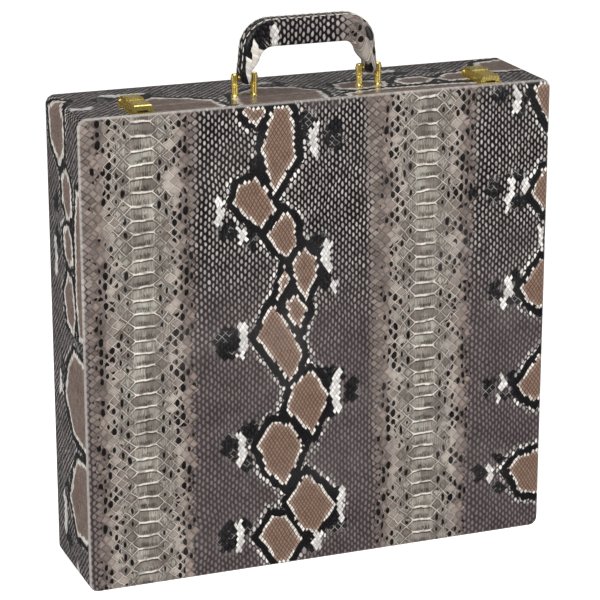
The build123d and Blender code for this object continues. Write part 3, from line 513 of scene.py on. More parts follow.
    flank = g.math("GREATER_THAN", dm + (rm[2] - 0.5) * 5.0, 27.0)
    back = g.math("GREATER_THAN", db + (rb[1] - 0.5) * 5.0, 49.0)
    colour = g.mix(flank, colour_a, colour_m)
    colour = g.mix(back, colour, colour_c)
    height = height_a + (height_m - height_a) * flank
    height = height + (height_b - height) * back
    height = height + (g.ramp(ec, 0.0, 0.3) * 0.6 - height) * band * back
    # light and dark of the whole print
    colour = g.mix(g.ramp(cloudy, 0.60, 0.34, 0.0, 0.35), colour, g.mix(1.0, colour, lin(150, 146, 146), "MULTIPLY"))
    colour = g.mix(i["Tone"] * 0.25, colour, g.mix(1.0, colour, lin(150, 150, 156), "MULTIPLY"))
    g.put(go.inputs["Color"], colour)
    g.put(go.inputs["Height"], height)
    g.put(go.inputs["Gloss"], patchy)
    return t


SNAKE = make_snake()


def snake_material(name, mapping, tone=0.0, rough=(0.24, 0.40), scale=1.0, edge_highlight=0.0):
    """mapping(g, x, y, z) gives U and V on the flat sheet from a point's place in millimetres."""
    m, g, b = new_material(name)
    x, y, z = g.split(g.place())
    u, v = mapping(g, x, y, z)
    o = use(g, SNAKE, U=u * scale, V=v * scale, Tone=tone)
    fine = g.noise(g.join(u * scale, v * scale, 5.0), 1.6, 2.0)
    colour = g.mix(g.ramp(fine, 0.35, 0.7, 0.0, 0.16), o["Color"], lin(40, 36, 36))
    # painted highlight: a pale band along the face sheet's rounded edge, standing in for the light caught on its curve
    if edge_highlight:
        ay = g.absolute(y)
        edge = g.ramp(ay, 57.9, 57.0) * g.ramp(ay, 53.6, 54.8) * g.ramp(fine, 0.30, 0.55, 0.45, 1.0)
        colour = g.mix(edge * edge_highlight, colour, lin(196, 190, 184))
    g.put(b.inputs["Base Color"], colour)
    g.put(b.inputs["Roughness"], g.ramp(o["Gloss"] + (fine - 0.5) * 0.5, 0.25, 0.75, rough[0], rough[1]))
    b.inputs["Specular IOR Level"].default_value = 0.26
    b.inputs["Coat Weight"].default_value = 0.08
    b.inputs["Coat Roughness"].default_value = 0.12
    bump(g, b, o["Height"] + fine * 0.25, 0.00022 / max(scale, 1.0), 0.75)
    return m


def front_map(g, x, y, z):
    return x, z


def back_map(g, x, y, z):
    return x * -1.0 + 40.0, z + 150.0


def strip_map(g, x, y, z):
    """Round the case: across by depth, along by the way round from the middle of the top."""
    side = g.math("SIGN", x)
    ax = g.absolute(x)
    low = g.math("LESS_THAN", z, H / 2)
    run = ax + (W - ax * 2.0) * low + (H - z)
    # over the rim the print goes on inward instead of being smeared
    s, t = W / 2 - ax, g.least(z, H - z)
    rim = g.most(g.least(s, t), 0.0) * g.ramp(g.absolute(y + 28.0), 1.5, 0.7)
    beside = g.math("LESS_THAN", s, t)
    run = run + rim * (beside * 2.0 - 1.0) * (1.0 - low * 2.0)
    inward = g.math("LESS_THAN", y, -28.0) * 2.0 - 1.0
    return y - 330.0 + rim * inward, run * side + 468.0


def handle_map(g, x, y, z):
    """Along the grip's middle line is across the skin, from the chain at the left to the flank at the right."""
    side = g.math("SIGN", x)
    wide = g.absolute(x)
    a, c = g.most(wide - 38.4, 0.0), g.most(z - 524.0, 0.0)
    run = (g.least(wide, 38.4) + g.math("ARCTAN2", a, c) * 20.0 + g.most(524.0 - z, 0.0)) * side
    off = g.math("SQRT", a * a + c * c) - 18.0
    left = g.most(-56.0 - run, 0.0)
    along = run * 0.85 + left * 0.35 - g.most(run - 56.0, 0.0) * 0.5
    return along - 272.0, (off + y + 16.0) * 0.92 + left * 0.9 + 317.0


MAT_FRONT = snake_material("snake_front", front_map, edge_highlight=0.55)
MAT_BACK = snake_material("snake_back", back_map, edge_highlight=0.55)
MAT_STRIP = snake_material("snake_strip", strip_map, tone=0.30, rough=(0.17, 0.30))
MAT_HANDLE = snake_material("snake_handle", handle_map, tone=0.45, rough=(0.20, 0.34))


# ---------------------------------------------------------------------------
# The other materials
# ---------------------------------------------------------------------------
def gilt_brass():
    m, g, b = new_material("gilt_brass_looks")
    P = g.place()
    tarnish = g.noise(P, 0.09, 3.0, 0.6)
    rub = g.noise(g.vmath("MULTIPLY", P, (6.0, 0.5, 0.5)), 0.5, 3.0, 0.6)
    col = g.mix(g.ramp(tarnish, 0.35, 0.7), lin(250, 228, 140), lin(242, 214, 122))
    col = g.mix(g.ramp(rub, 0.62, 0.8, 0.0, 0.12), col, lin(170, 134, 64))
    g.put(b.inputs["Base Color"], col)
    b.inputs["Metallic"].default_value = 1.0
    g.put(b.inputs["Roughness"], g.ramp(rub, 0.3, 0.8, 0.24, 0.38))
    bump(g, b, rub * 0.5 + g.noise(P, 1.2, 2.0) * 0.2, 0.00002, 0.4)
    return m


def steel():
    m, g, b = new_material("spring_steel_looks")
    P = g.place()
    grain = g.noise(g.vmath("MULTIPLY", P, (0.3, 3.0, 3.0)), 1.0, 3.0)
    g.put(b.inputs["Base Color"], g.mix(grain, lin(206, 207, 210), lin(150, 152, 157)))
    b.inputs["Metallic"].default_value = 1.0
    g.put(b.inputs["Roughness"], g.ramp(grain, 0.3, 0.7, 0.22, 0.42))
    bump(g, b, grain, 0.00003, 0.6)
    return m


def velvet():
    m, g, b = new_material("velvet_looks")
    P = g.place()
    nap = g.noise(P, 0.05, 3.0, 0.6)
    pile = g.noise(P, 2.6, 2.0, 0.7)
    col = g.mix(g.ramp(nap, 0.35, 0.66), lin(94, 12, 26), lin(60, 6, 16))
    col = g.mix(g.ramp(pile, 0.45, 0.75, 0.0, 0.5), col, lin(134, 34, 48))
    g.put(b.inputs["Base Color"], col)
    g.put(b.inputs["Roughness"], g.ramp(pile, 0.3, 0.7, 0.82, 0.98))
    b.inputs["Sheen Weight"].default_value = 0.55
    b.inputs["Sheen Roughness"].default_value = 0.35
    b.inputs["Sheen Tint"].default_value = (0.9, 0.42, 0.48, 1.0)
    bump(g, b, pile + nap * 0.6, 0.0004, 0.6)
    return m


def raw_wood():
    m, g, b = new_material("raw_wood_looks")
    P = g.place()
    warp = g.noise(P, 0.012, 2.0)
    x, y, z = g.split(P)
    fibre = g.noise(g.join(x * 0.03, y * 0.9, z * 0.03), 1.0, 4.0, 0.6)
    ring = g.math("SINE", (y * 0.9) + warp * 26.0)
    col = g.mix(g.ramp(fibre, 0.3, 0.7), lin(206, 172, 124), lin(170, 132, 86))
    col = g.mix(g.ramp(ring, 0.2, 1.0, 0.0, 0.35), col, lin(140, 102, 62))
    g.put(b.inputs["Base Color"], col)
    g.put(b.inputs["Roughness"], g.ramp(fibre, 0.3, 0.7, 0.6, 0.8))
    bump(g, b, fibre, 0.0003, 0.5)
    return m


def hardboard():
    m, g, b = new_material("hardboard_looks")
    P = g.place()
    fine = g.noise(P, 1.4, 4.0, 0.7)
    fleck = g.voronoi(g.vmath("MULTIPLY", P, (0.5, 0.5, 1.3)), 0.9)
    col = g.mix(g.ramp(fine, 0.3, 0.7), lin(142, 108, 76), lin(112, 82, 56))
    col = g.mix(g.ramp(fleck, 0.25, 0.05, 0.0, 0.4), col, lin(82, 58, 40))
    g.put(b.inputs["Base Color"], col)
    g.put(b.inputs["Roughness"], g.ramp(fine, 0.3, 0.7, 0.5, 0.7))
    bump(g, b, fine, 0.0002, 0.4)
    return m


def veneer(name, light, mid, dark, cell=50.0, along_z=True, burr=0.0):
    """Veneer whose grain starts afresh in each square of the board."""
    m, g, b = new_material(name)
    x, y, z = g.split(g.place())
    cx, cz = g.floor((x + 200.0) / cell), g.floor((z - 40.0) / cell)
    r = g.white(g.join(cx, cz, 4.0))
    a, c = (x, z) if along_z else (z, x)
    warp = g.noise(g.join(a * 0.05 + r[0] * 40.0, c * 0.012, r[1] * 9.0), 1.0, 2.0)
    rings = g.math("SINE", a * 0.55 + warp * (16.0 + burr * 30.0) + r[1] * 20.0)
    pore = g.noise(g.join(a * 2.6 + r[2] * 50.0, c * 0.10, r[0] * 30.0), 1.0, 3.0, 0.65)
    col = g.mix(g.ramp(rings, -0.8, 0.9), light, mid)
    col = g.mix(g.ramp(pore, 0.50, 0.72, 0.0, 0.7), col, dark)
    col = g.mix(r[2] * 0.3, col, mid)
    g.put(b.inputs["Base Color"], col)
    g.put(b.inputs["Roughness"], g.ramp(pore, 0.3, 0.7, 0.24, 0.36))
    b.inputs["Coat Weight"].default_value = 0.35
    b.inputs["Coat Roughness"].default_value = 0.12
    bump(g, b, pore * 0.6 + rings * 0.1, 0.00008, 0.5)
    return m


def foam_look():
    m, g, b = new_material("foam_looks")
    P = g.place()
    cells = g.voronoi(P, 0.9)
    big = g.noise(P, 0.08, 2.0)
    col = g.mix(g.ramp(cells, 0.1, 0.6), lin(104, 104, 108), lin(64, 64, 68))
    col = g.mix(g.ramp(big, 0.3, 0.7, 0.0, 0.3), col, lin(126, 122, 112))
    g.put(b.inputs["Base Color"], col)
    g.put(b.inputs["Roughness"], g.ramp(cells, 0.1, 0.6, 0.85, 1.0))
    bump(g, b, cells, 0.0006, 0.7)
    return m


def thread():
    m, g, b = new_material("thread_looks")
    P = g.place()
    x, y, z = g.split(P)
    twist = g.math("SINE", (x + y + z) * 9.0)
    fluff = g.noise(P, 2.0, 2.0)
    g.put(b.inputs["Base Color"], g.mix(g.ramp(twist, -0.6, 0.8), lin(206, 198, 184), g.mix(fluff, lin(240, 235, 224), lin(222, 214, 200))))
    g.put(b.inputs["Roughness"], g.ramp(fluff, 0.3, 0.7, 0.55, 0.8))
    bump(g, b, twist, 0.0001, 0.6)
    return m


BRASS, STEEL, VELVET, WOOD = gilt_brass(), steel(), velvet(), raw_wood()
HARDBOARD, FOAM, THREAD = hardboard(), foam_look(), thread()
DARK_VENEER = veneer("dark_veneer_looks", lin(92, 58, 38), lin(62, 37, 24), lin(36, 20, 13))
LIGHT_VENEER = veneer("light_veneer_looks", lin(226, 192, 140), lin(204, 164, 110), lin(166, 124, 76))
BORDER_VENEER = veneer("border_veneer_looks", lin(112, 66, 42), lin(76, 42, 27), lin(40, 21, 14), 1000.0, False, 1.0)

LOOKS = {
    "gilt_brass": BRASS, "spring_steel": STEEL, "velvet": VELVET, "wood": WOOD, "hardboard": HARDBOARD,
    "dark_veneer": DARK_VENEER, "light_veneer": LIGHT_VENEER, "border_veneer": BORDER_VENEER, "foam": FOAM,
    "snake_leatherette": MAT_STRIP,
}
SLOT_OF = {s["node"]: s["material_slot"] for s in frame["record"]["subparts"] if s.get("material_slot")}
for name, o in NODES.items():
    key = SLOT_OF.get(name) or (o.material_slots[0].material.name if o.material_slots else "wood")
    look = LOOKS.get(key.split(".")[0], WOOD)
    if not o.material_slots:
        o.data.materials.append(look)
    for ms in o.material_slots:
        ms.material = look


# ---------------------------------------------------------------------------
# Mesh helpers (millimetres in, metres out)
# ---------------------------------------------------------------------------
def make(name, verts, faces, mats, body, face_mat=None, smooth=True, sharp=None, closed=False):
    me = bpy.data.meshes.new(name)
    me.from_pydata([(a * 0.001, b * 0.001, c * 0.001) for a, b, c in verts], [], faces)
    for m in mats if isinstance(mats, (list, tuple)) else [mats]:
        me.materials.append(m)
    if face_mat:
        for f, k in zip(me.polygons, face_mat):
            f.material_index = k
    if smooth:
        me.polygons.foreach_set("use_smooth", [True] * len(me.polygons))
    me.validate()
    if closed:
        bm = bmesh.new()
        bm.from_mesh(me)
        bmesh.ops.recalc_face_normals(bm, faces=bm.faces)
        bm.to_mesh(me)
        bm.free()
    me.update()
    ob = bpy.data.objects.new(name, me)
    bpy.context.scene.collection.objects.link(ob)
    if sharp is not None:
        me.set_sharp_from_angle(angle=math.radians(sharp))
    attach(ob, body)
    return ob


def thicken(ob, mm, offset=-1.0):
    mod = ob.modifiers.new("thickness", "SOLIDIFY")
    mod.thickness = mm * 0.001
    mod.offset = offset
    mod.use_even_offset = True
    return ob


def outline(inset=0.0, hx=HX, z0=0.0, z1=H, r=CORNER_R, nx=30, nz=30, nc=6):
    """A rounded rectangle in X and Z, from the lower right corner's foot, anticlockwise as seen from the front."""
    hx, z0, z1, r = hx - inset, z0 + inset, z1 - inset, max(r - inset, 0.5)
    r = min(r, hx * 0.9, (z1 - z0) / 2 * 0.9)
    pts = []

    def corner(cx, cz, a0):
        for k in range(nc + 1):
            a = math.radians(a0 + 90 * k / nc)
            pts.append((cx + r * math.cos(a), cz + r * math.sin(a)))

    def run(p, q, n):
        for k in range(1, n):
            pts.append((p[0] + (q[0] - p[0]) * k / n, p[1] + (q[1] - p[1]) * k / n))

    corner(hx - r, z0 + r, -90)
    run((hx, z0 + r), (hx, z1 - r), nz)
    corner(hx - r, z1 - r, 0)
    run((hx - r, z1), (-hx + r, z1), nx)
    corner(-hx + r, z1 - r, 90)
    run((-hx, z1 - r), (-hx, z0 + r), nz)
    corner(-hx + r, z0 + r, 180)
    run((-hx + r, z0), (hx - r, z0), nx)
    return pts


def ring_faces(nrings, n, closed=True, flip=False, skip=None):
    faces = []
    for k in range(nrings - 1):
        for j in range(n if closed else n - 1):
            if skip and skip(k, j):
                continue
            a, b = k * n + j, k * n + (j + 1) % n
            f = (a, b, b + n, a + n)
            faces.append(f[::-1] if flip else f)
    return faces


def wave(x, z, amp, size, seed=0.0):
    return amp * noise.noise(Vector((x / size, seed, z / size)))


# ---------------------------------------------------------------------------
# Leatherette: face sheets turned over their edges
# ---------------------------------------------------------------------------
def face_sheet(name, node, body, front, mat, seed):
    """front True for the lid's face at -Y, False for the back."""
    sgn = -1.0 if front else 1.0
    tangent = sgn * (D / 2 - EDGE_R)
    prof = [(tangent - sgn * 0.15, 0.55), (tangent + sgn * 0.05, 0.12), (tangent + sgn * 0.35, 0.0)]
    for k in range(1, 9):
        a = math.radians(90 * k / 8)
        prof.append((tangent + sgn * EDGE_R * math.sin(a), EDGE_R * (1 - math.cos(a))))
    face = sgn * D / 2
    # a shallow line where the sheet was pressed down inside the rounded edge
    prof += [(face - sgn * 0.02, 4.4), (face - sgn * 0.16, 5.1), (face - sgn * 0.04, 5.9), (face, 7.5)]
    inset = 11.0
    while inset < 232:
        prof.append((face, inset))
        inset += 9.5
    prof.append((face, 236.0))
    verts = []
    for y, ins in prof:
        for x, z in outline(ins):
            calm = min(max((ins - 5.0) / 30.0, 0.0), 1.0)
            dy = (wave(x, z, 0.16, 70.0, seed) + wave(x, z, 0.05, 22.0, seed + 5)) * calm
            verts.append((x, y - sgn * 0.15 * calm + sgn * dy, z))
    n = len(outline())
    faces = ring_faces(len(prof), n, flip=not front)
    last = list(range((len(prof) - 1) * n, len(prof) * n))
    faces.append(tuple(last if front else last[::-1]))
    ob = make(name, verts, faces, mat, body)
    thicken(ob, 0.9)
    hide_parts(node)
    return ob


def rim_limit(z, lid):
    """The rim's plane, pulled back by the bevel along the bottom."""
    if z >= 2.8:
        return LID_RIM if lid else BASE_RIM
    return (LID_RIM - (2.8 - z)) if lid else (BASE_RIM + (2.8 - z))


def side_sheet(name, node, body, lid):
    far = -(D / 2 - EDGE_R) if lid else (D / 2 - EDGE_R)
    rim = LID_RIM if lid else BASE_RIM
    s = 1.0 if lid else -1.0
    prof = [(far + s * 0.15, 0.55), (far + s * 0.3, 0.12), (far + s * 0.6, 0.0)]
    steps = 4 if lid else 9
    for k in range(1, steps + 1):
        prof.append((far + s * 0.6 + (rim - s * 0.9 - far - s * 0.6) * k / steps, 0.0))
    prof += [(rim - s * 0.5, 0.06), (rim - s * 0.15, 0.3), (rim - s * 0.02, 0.75), (rim, 1.4),
             (rim, 4.0), (rim, 7.5), (rim, 10.9)]
    full = len(outline())
    keep = full - 29                       # all but the run along the bottom
    verts = []
    for y, ins in prof:
        pts = outline(ins)[:keep]
        for x, z in pts:
            lim = rim_limit(z, lid)
            t = (y - far) / (rim - far)
            yy = far + (lim - far) * t if ins < 1.5 else min(y, lim) if lid else max(y, lim)
            verts.append((x, yy, z))
    faces = ring_faces(len(prof), keep, closed=False, flip=not lid)
    faces = [f[::-1] for f in faces]
    ob = make(name, verts, faces, MAT_STRIP, body)
    thicken(ob, 0.9)
    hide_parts(node)
    return ob


def bottom_sheet(name, node, body, lid):
    far = -(D / 2 - EDGE_R) if lid else (D / 2 - EDGE_R)
    s = 1.0 if lid else -1.0
    bev = rim_limit(0.0, lid)
    rim = LID_RIM if lid else BASE_RIM
    prof = [(far + s * 0.15, 0.55), (far + s * 0.3, 0.1), (far + s * 0.6, 0.0)]
    steps = 3 if lid else 8
    for k in range(1, steps + 1):
        prof.append((far + s * 0.6 + (bev - s * 1.4 - far - s * 0.6) * k / steps, 0.0))
    cut = len(prof) - 1                    # from here on the hinges need the room
    prof += [(bev - s * 0.4, 0.05), (bev, 0.35), (bev + s * 1.2, 1.5), (rim - s * 0.1, 2.6), (rim, 3.2),
             (rim, 6.5), (rim, 10.9)]
    xs = sorted({STRIP_X - 0.2, -STRIP_X + 0.2, *[c + e for c in (-HINGE_X, HINGE_X) for e in (-30.4, 30.4)],
                 *[-220 + 20 * k for k in range(23)]}, reverse=True)
    verts = [(x, y, z) for y, z in prof for x in xs]

    def skip(k, j):
        mid = (xs[j] + xs[j + 1]) / 2
        return k >= cut and any(abs(mid - c) < 30.4 for c in (-HINGE_X, HINGE_X))

    faces = ring_faces(len(prof), len(xs), closed=False, flip=not lid, skip=skip)
    used = sorted({i for f in faces for i in f})
    where = {i: k for k, i in enumerate(used)}
    ob = make(name, [verts[i] for i in used], [tuple(where[i] for i in f) for f in faces], MAT_STRIP, body)
    thicken(ob, 0.9)
    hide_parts(node)
    width = (abs(bev - far) + 3.9 + 7.9) / 1000
    return ob


face_sheet("lid_front_skin", "lid_front_covering", "lid", True, MAT_FRONT, 1.0)
face_sheet("base_back_skin", "base_back_covering", "base", False, MAT_BACK, 4.0)
side_sheet("lid_side_skin", "lid_side_covering", "lid", True)
side_sheet("base_side_skin", "base_side_covering", "base", False)
bottom_sheet("lid_bottom_skin", "lid_bottom_covering", "lid", True)
bottom_sheet("base_bottom_skin", "base_bottom_covering", "base", False)


# ---------------------------------------------------------------------------
# Velvet linings
# ---------------------------------------------------------------------------
def lid_lining():
    rim, floor = -29.2, -51.0
    prof = [(rim + 0.02, -0.9), (rim, -0.5), (rim - 0.15, -0.1), (rim - 0.8, 0.0)]
    prof += [(rim - 0.8 + (floor + 2.0 - rim + 0.8) * k / 6, 0.0) for k in range(1, 7)]
    prof += [(floor + 0.9, 0.35), (floor + 0.25, 1.1), (floor, 2.4)]
    prof += [(floor, 2.4 + 9.0 * k) for k in range(1, 24)] + [(floor, 222.0)]
    verts = []
    for y, ins in prof:
        for x, z in outline(ins, hx=233.0, z0=12.0, z1=468.0, r=1.6):
            calm = 1.0 if y < floor + 1.5 else 0.0
            verts.append((x, y + calm * (0.12 + wave(x, z, 0.12, 26.0, 9.0)), z))
    n = len(outline())
    faces = ring_faces(len(prof), n, flip=True)
    faces.append(tuple(range((len(prof) - 1) * n, len(prof) * n))[::-1])
    ob = make("lid_velvet", verts, faces, VELVET, "lid")
    thicken(ob, 0.85)
    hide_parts("lid_lining")


def base_lining():
    rim, deep = -26.8, 51.8
    prof = [(rim - 0.02, -0.9), (rim, -0.5), (rim + 0.15, -0.1), (rim + 0.8, 0.0)]
    prof += [(rim + 0.8 + (deep - rim - 0.8) * k / 12, 0.0) for k in range(1, 13)]
    verts = []
    for y, ins in prof:
        for x, z in outline(ins, hx=233.0, z0=12.0, z1=468.0, r=1.6):
            calm = 1.0 if y > rim + 4 else 0.0
            w = calm * (0.12 + wave(x + z, y, 0.10, 18.0, 2.0))
            sx, sz = (-1 if x > 0 else 1), (-1 if z > H / 2 else 1)
            verts.append((x - sx * w if abs(abs(x) - 233) < 1.7 else x, y, z - sz * w if min(z - 12, 468 - z) < 1.7 else z))
    n = len(outline())
    faces = ring_faces(len(prof), n)
    ob = make("base_velvet", verts, faces, VELVET, "base")
    thicken(ob, 0.85)
    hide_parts("base_lining")


LIN_W, LIN_H, MIDZ = 466.0, 456.0, 240.0
COL_X = [-LIN_W / 2 + LIN_W / 6 * i for i in range(1, 6)]
ROW_Z = [MIDZ - LIN_H / 2 + LIN_H / 4 * j for j in range(1, 4)]
TRAY = 23.0


def tray_cloth():
    """The velvet floor, swelling a little in every compartment."""
    nx, nz = 96, 94
    verts = []
    for j in range(nz + 1):
        for i in range(nx + 1):
            x = -232.8 + 465.6 * i / nx
            z = MIDZ - 227.8 + 455.6 * j / nz
            fx = ((x + 233) / (LIN_W / 6)) % 1.0
            fz = ((z - 12) / (LIN_H / 4)) % 1.0
            puff = (math.sin(math.pi * fx) * math.sin(math.pi * fz)) ** 0.45
            verts.append((x, TRAY + 0.25 - 0.9 * puff + wave(x, z, 0.08, 14.0, 6.0), z))
    faces = []
    for j in range(nz):
        for i in range(nx):
            a = j * (nx + 1) + i
            faces.append((a, a + 1, a + nx + 2, a + nx + 1))
    ob = make("tray_velvet", verts, faces, VELVET, "base")
    thicken(ob, 0.6)
    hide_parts("tray_floor_cloth")


def foam_pad():
    prof = [(24.1, 6.0), (24.15, 3.0), (24.6, 1.2), (25.8, 0.4), (29.0, 0.9), (38.0, 1.3), (47.0, 0.9), (50.2, 0.4),
            (51.4, 1.2), (51.85, 3.0), (51.9, 6.0)]
    front = [(24.1, 6.0 + 18.0 * k) for k in range(12, 0, -1)]
    back = [(51.9, 6.0 + 18.0 * k) for k in range(1, 13)]
    prof = front + prof + back
    verts = []
    for y, ins in prof:
        for x, z in outline(ins + 0.2, hx=232.8, z0=12.2, z1=467.8, r=5.0, nx=24, nz=24):
            verts.append((x, y + (wave(x, z, 0.12, 30.0, 3.0) if 24 < y < 25 else 0.0), z))
    n = len(outline(nx=24, nz=24))
    faces = ring_faces(len(prof), n, flip=True)
    faces.append(tuple(range(n)))
    faces.append(tuple(range((len(prof) - 1) * n, len(prof) * n))[::-1])
    ob = make("foam_pad", verts, faces, FOAM, "base", closed=True)
    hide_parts("foam_bed")


def slat(verts, faces, a0, a1, c, across, y0, y1, half, n, seed):
    """A cloth-covered slat along Z (across 'x') or X, its front edge rounded, its sides slightly soft."""
    prof = [(y1, half), (y1 - 6, half + 0.02), ((y0 + y1) / 2, half + 0.03), (y0 + 5, half + 0.02), (y0 + 2.0, half - 0.05),
            (y0 + 0.8, half - 0.45), (y0 + 0.15, half - 1.15), (y0, 0.0)]
    loop = prof + [(y, -w) for y, w in prof[-2::-1]]
    m = len(loop)
    base = len(verts)
    for k in range(n + 1):
        a = a0 + (a1 - a0) * k / n
        for y, w in loop:
            j = 0.04 * noise.noise(Vector((a / 9.0, y / 9.0, seed))) if y < y1 - 1 else 0.0
            w2 = w + (j if w > 0 else -j)
            verts.append((c + w2, y, a) if across == "x" else (a, y, c + w2))
    for k in range(n):
        for j in range(m):
            p, q = base + k * m + j, base + k * m + (j + 1) % m
            f = (p, q, q + m, p + m)
            faces.append(f if across == "x" else f[::-1])
    faces.append(tuple(range(base, base + m))[::-1] if across == "x" else tuple(range(base, base + m)))
    end = tuple(range(base + n * m, base + (n + 1) * m))
    faces.append(end if across == "x" else end[::-1])


def dividers():
    y0, y1 = -26.5, TRAY - 0.1
    verts, faces = [], []
    for i, x in enumerate(COL_X):
        slat(verts, faces, 12.3, 467.7, x, "x", y0, y1, 1.95, 46, i * 3.1)
    ob = make("upright_slats", verts, faces, VELVET, "base", sharp=60, closed=True)
    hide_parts("upright_dividers")
    verts, faces = [], []
    edges = [-232.7] + [x + e for x in COL_X for e in (-1.9, 1.9)] + [232.7]
    for j, z in enumerate(ROW_Z):
        for k in range(0, len(edges), 2):
            slat(verts, faces, edges[k], edges[k + 1], z, "z", y0 + 0.05, y1, 1.93, 8, j * 2.3 + k)
    ob = make("cross_slats", verts, faces, VELVET, "base", sharp=60, closed=True)
    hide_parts("cross_dividers")


def corner_bands():
    """Four velvet ribbons across the board's corners, domed a little over it."""
    verts, faces = [], []
    for sx in (-1, 1):
        for sz in (-1, 1):
            # the ribbon runs across the corner between the two lined walls
            ends = []
            cx, cz = sx * 205.0, MIDZ + sz * 200.0
            ux, uz = 1 / math.sqrt(2), -sx * sz / math.sqrt(2)
            nxv, nzv = sx / math.sqrt(2), sz / math.sqrt(2)
            rows = 7
            grid = []
            for r in range(rows):
                w = -8.0 + 16.0 * r / (rows - 1)
                px, pz = cx + nxv * w, cz + nzv * w
                ts = []
                for lim, p, d in ((232.7, px, ux), (-232.7, px, ux), (MIDZ + 227.7, pz, uz), (MIDZ - 227.7, pz, uz)):
                    ts.append((lim - p) / d)
                lo = max(t for t in ts if t < 0)
                hi = min(t for t in ts if t > 0)
                line = []
                for k in range(25):
                    t = lo + (hi - lo) * k / 24
                    x, z = px + ux * t, pz + uz * t
                    off = abs(px + ux * t) > 225.2 or abs(z - MIDZ) > 225.2
                    crown = 0.25 * (1 - (w / 8.0) ** 2)
                    y = -42.45 - crown - wave(x, z, 0.06, 9.0, sx * 2 + sz)
                    if off:
                        y += 0.05
                    line.append((x, y, z))
                grid.append(line)
            base = len(verts)
            verts += [p for line in grid for p in line]
            for r in range(rows - 1):
                for k in range(24):
                    a = base + r * 25 + k
                    f = (a, a + 1, a + 26, a + 25)
                    faces.append(f if sx * sz > 0 else f[::-1])
    area = 0.0
    for f in faces:
        p = [Vector(verts[i]) for i in f]
        area += ((p[1] - p[0]).cross(p[2] - p[0]).length + (p[2] - p[0]).cross(p[3] - p[0]).length) / 2
    ob = make("corner_ribbons", verts, faces, VELVET, "lid")
    thicken(ob, 0.45, 0.0)
    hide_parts("board_corner_bands")


lid_lining()
base_lining()
foam_pad()
tray_cloth()
dividers()
corner_bands()


# ---------------------------------------------------------------------------
# Handle: a padded grip with a sewn band on its outer side
# ---------------------------------------------------------------------------
def handle_stations():
    """Outer and inner point of each section, in X and Z, from the left leg's end to the right one's."""
    half = []
    for k in range(7):                     # the rounded end about the pin
        a = math.radians(-88 + 88 * k / 6)
        z = PIVOT_Z + LEG_HALF * math.sin(a)
        w = max(LEG_HALF * math.cos(a), 0.4)
        half.append(((HANDLE_X + w, z), (HANDLE_X - w, z)))
    half.append(((HANDLE_X + LEG_HALF, PIVOT_Z + 4), (HANDLE_X - LEG_HALF, PIVOT_Z + 4)))
    half.append(((HANDLE_X + LEG_HALF, LEG_NECK + 0.4), (HANDLE_X - LEG_HALF, LEG_NECK)))
    # the leg widens inward just above the posts, up to its full width at the corner
    inner = [(58.5, 505.2), (57.4, 506.4), (56.1, 507.7), (54.8, 509.0), (53.6, 510.4), (52.5, 511.9), (51.6, 513.4)]
    for k, i in enumerate(inner, 1):
        t = k / len(inner)
        o = (HANDLE_X + LEG_HALF + (LEG_OUT - HANDLE_X - LEG_HALF) * t, LEG_NECK + (BAR_TOP - OUT_R - LEG_NECK) * t ** 1.2)
        half.append((o, i))
    for k in range(1, 15):
        a = math.radians(90 * k / 14)
        half.append(((LEG_OUT - OUT_R + OUT_R * math.cos(a), BAR_TOP - OUT_R + OUT_R * math.sin(a)),
                     (LEG_IN - IN_R + IN_R * math.cos(a), BAR_UNDER - IN_R + IN_R * math.sin(a))))
    right = half
    left = [((-o[0], o[1]), (-i[0], i[1])) for o, i in half]
    bar = []
    n = 24
    xo, xi = LEG_OUT - OUT_R, LEG_IN - IN_R
    for k in range(1, n):
        t = -1 + 2 * k / n
        bar.append(((xo * t, BAR_TOP), (xi * t, BAR_UNDER)))
    return left + bar + right[::-1]


def handle_pad():
    st = handle_stations()
    verts, seams = [], []
    nst = len(st)
    for k, (o, i) in enumerate(st):
        ox, oz = o
        ix, iz = i
        T = math.hypot(ox - ix, oz - iz)
        dx, dz = (ox - ix) / T, (oz - iz) / T
        end = min(k, nst - 1 - k)
        soft = 1.0 if end > 6 else (0.86 + 0.14 * math.sin(math.radians(90 * end / 6.0)))
        e = min(1.0, T / 14.0)
        # half depth and how far above the inner line, for one side
        sec = [(0.0, T), (3.4, T - 0.02), (6.4, T - 0.06 * e), (7.3, T - 0.22 * e), (8.0, T - 0.55 * e),
               (8.35, T - 1.15 * e), (8.25, T - 1.75 * e), (8.7, T - 2.5 * e), (9.3, T - 3.9 * e), (9.75, T - 6.0 * e),
               (9.95, T * 0.50), (9.75, min(T * 0.30, 6.4)), (9.2, min(T * 0.19, 3.9)), (8.2, min(T * 0.10, 2.1)),
               (6.6, min(T * 0.045, 0.9)), (4.2, min(T * 0.015, 0.25)), (0.0, 0.0)]
        loop = [(b, h) for b, h in sec] + [(-b, h) for b, h in sec[-2:0:-1]]
        for b, h in loop:
            px, pz = ix + dx * h, iz + dz * h
            puff = 0.0
            if 0.15 * T < h < 0.85 * T and end > 9:
                puff = 0.12 * noise.noise(Vector((px / 11.0, b / 11.0, pz / 11.0)))
            verts.append((px, HANDLE_Y + b * soft + (puff if b > 0 else -puff), pz))
        seams.append((ox - dx * 0.16 * e, oz - dz * 0.16 * e, dx, dz, soft, end))
    m = len(loop)
    faces = ring_faces(nst, m)
    faces.append(tuple(range(m))[::-1])
    faces.append(tuple(range((nst - 1) * m, nst * m)))
    ob = make("handle_pad", verts, faces, MAT_HANDLE, "handle", sharp=75, closed=True)
    sub = ob.modifiers.new("smooth", "SUBSURF")
    sub.levels = sub.render_levels = 1
    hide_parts("handle_grip")
    return seams


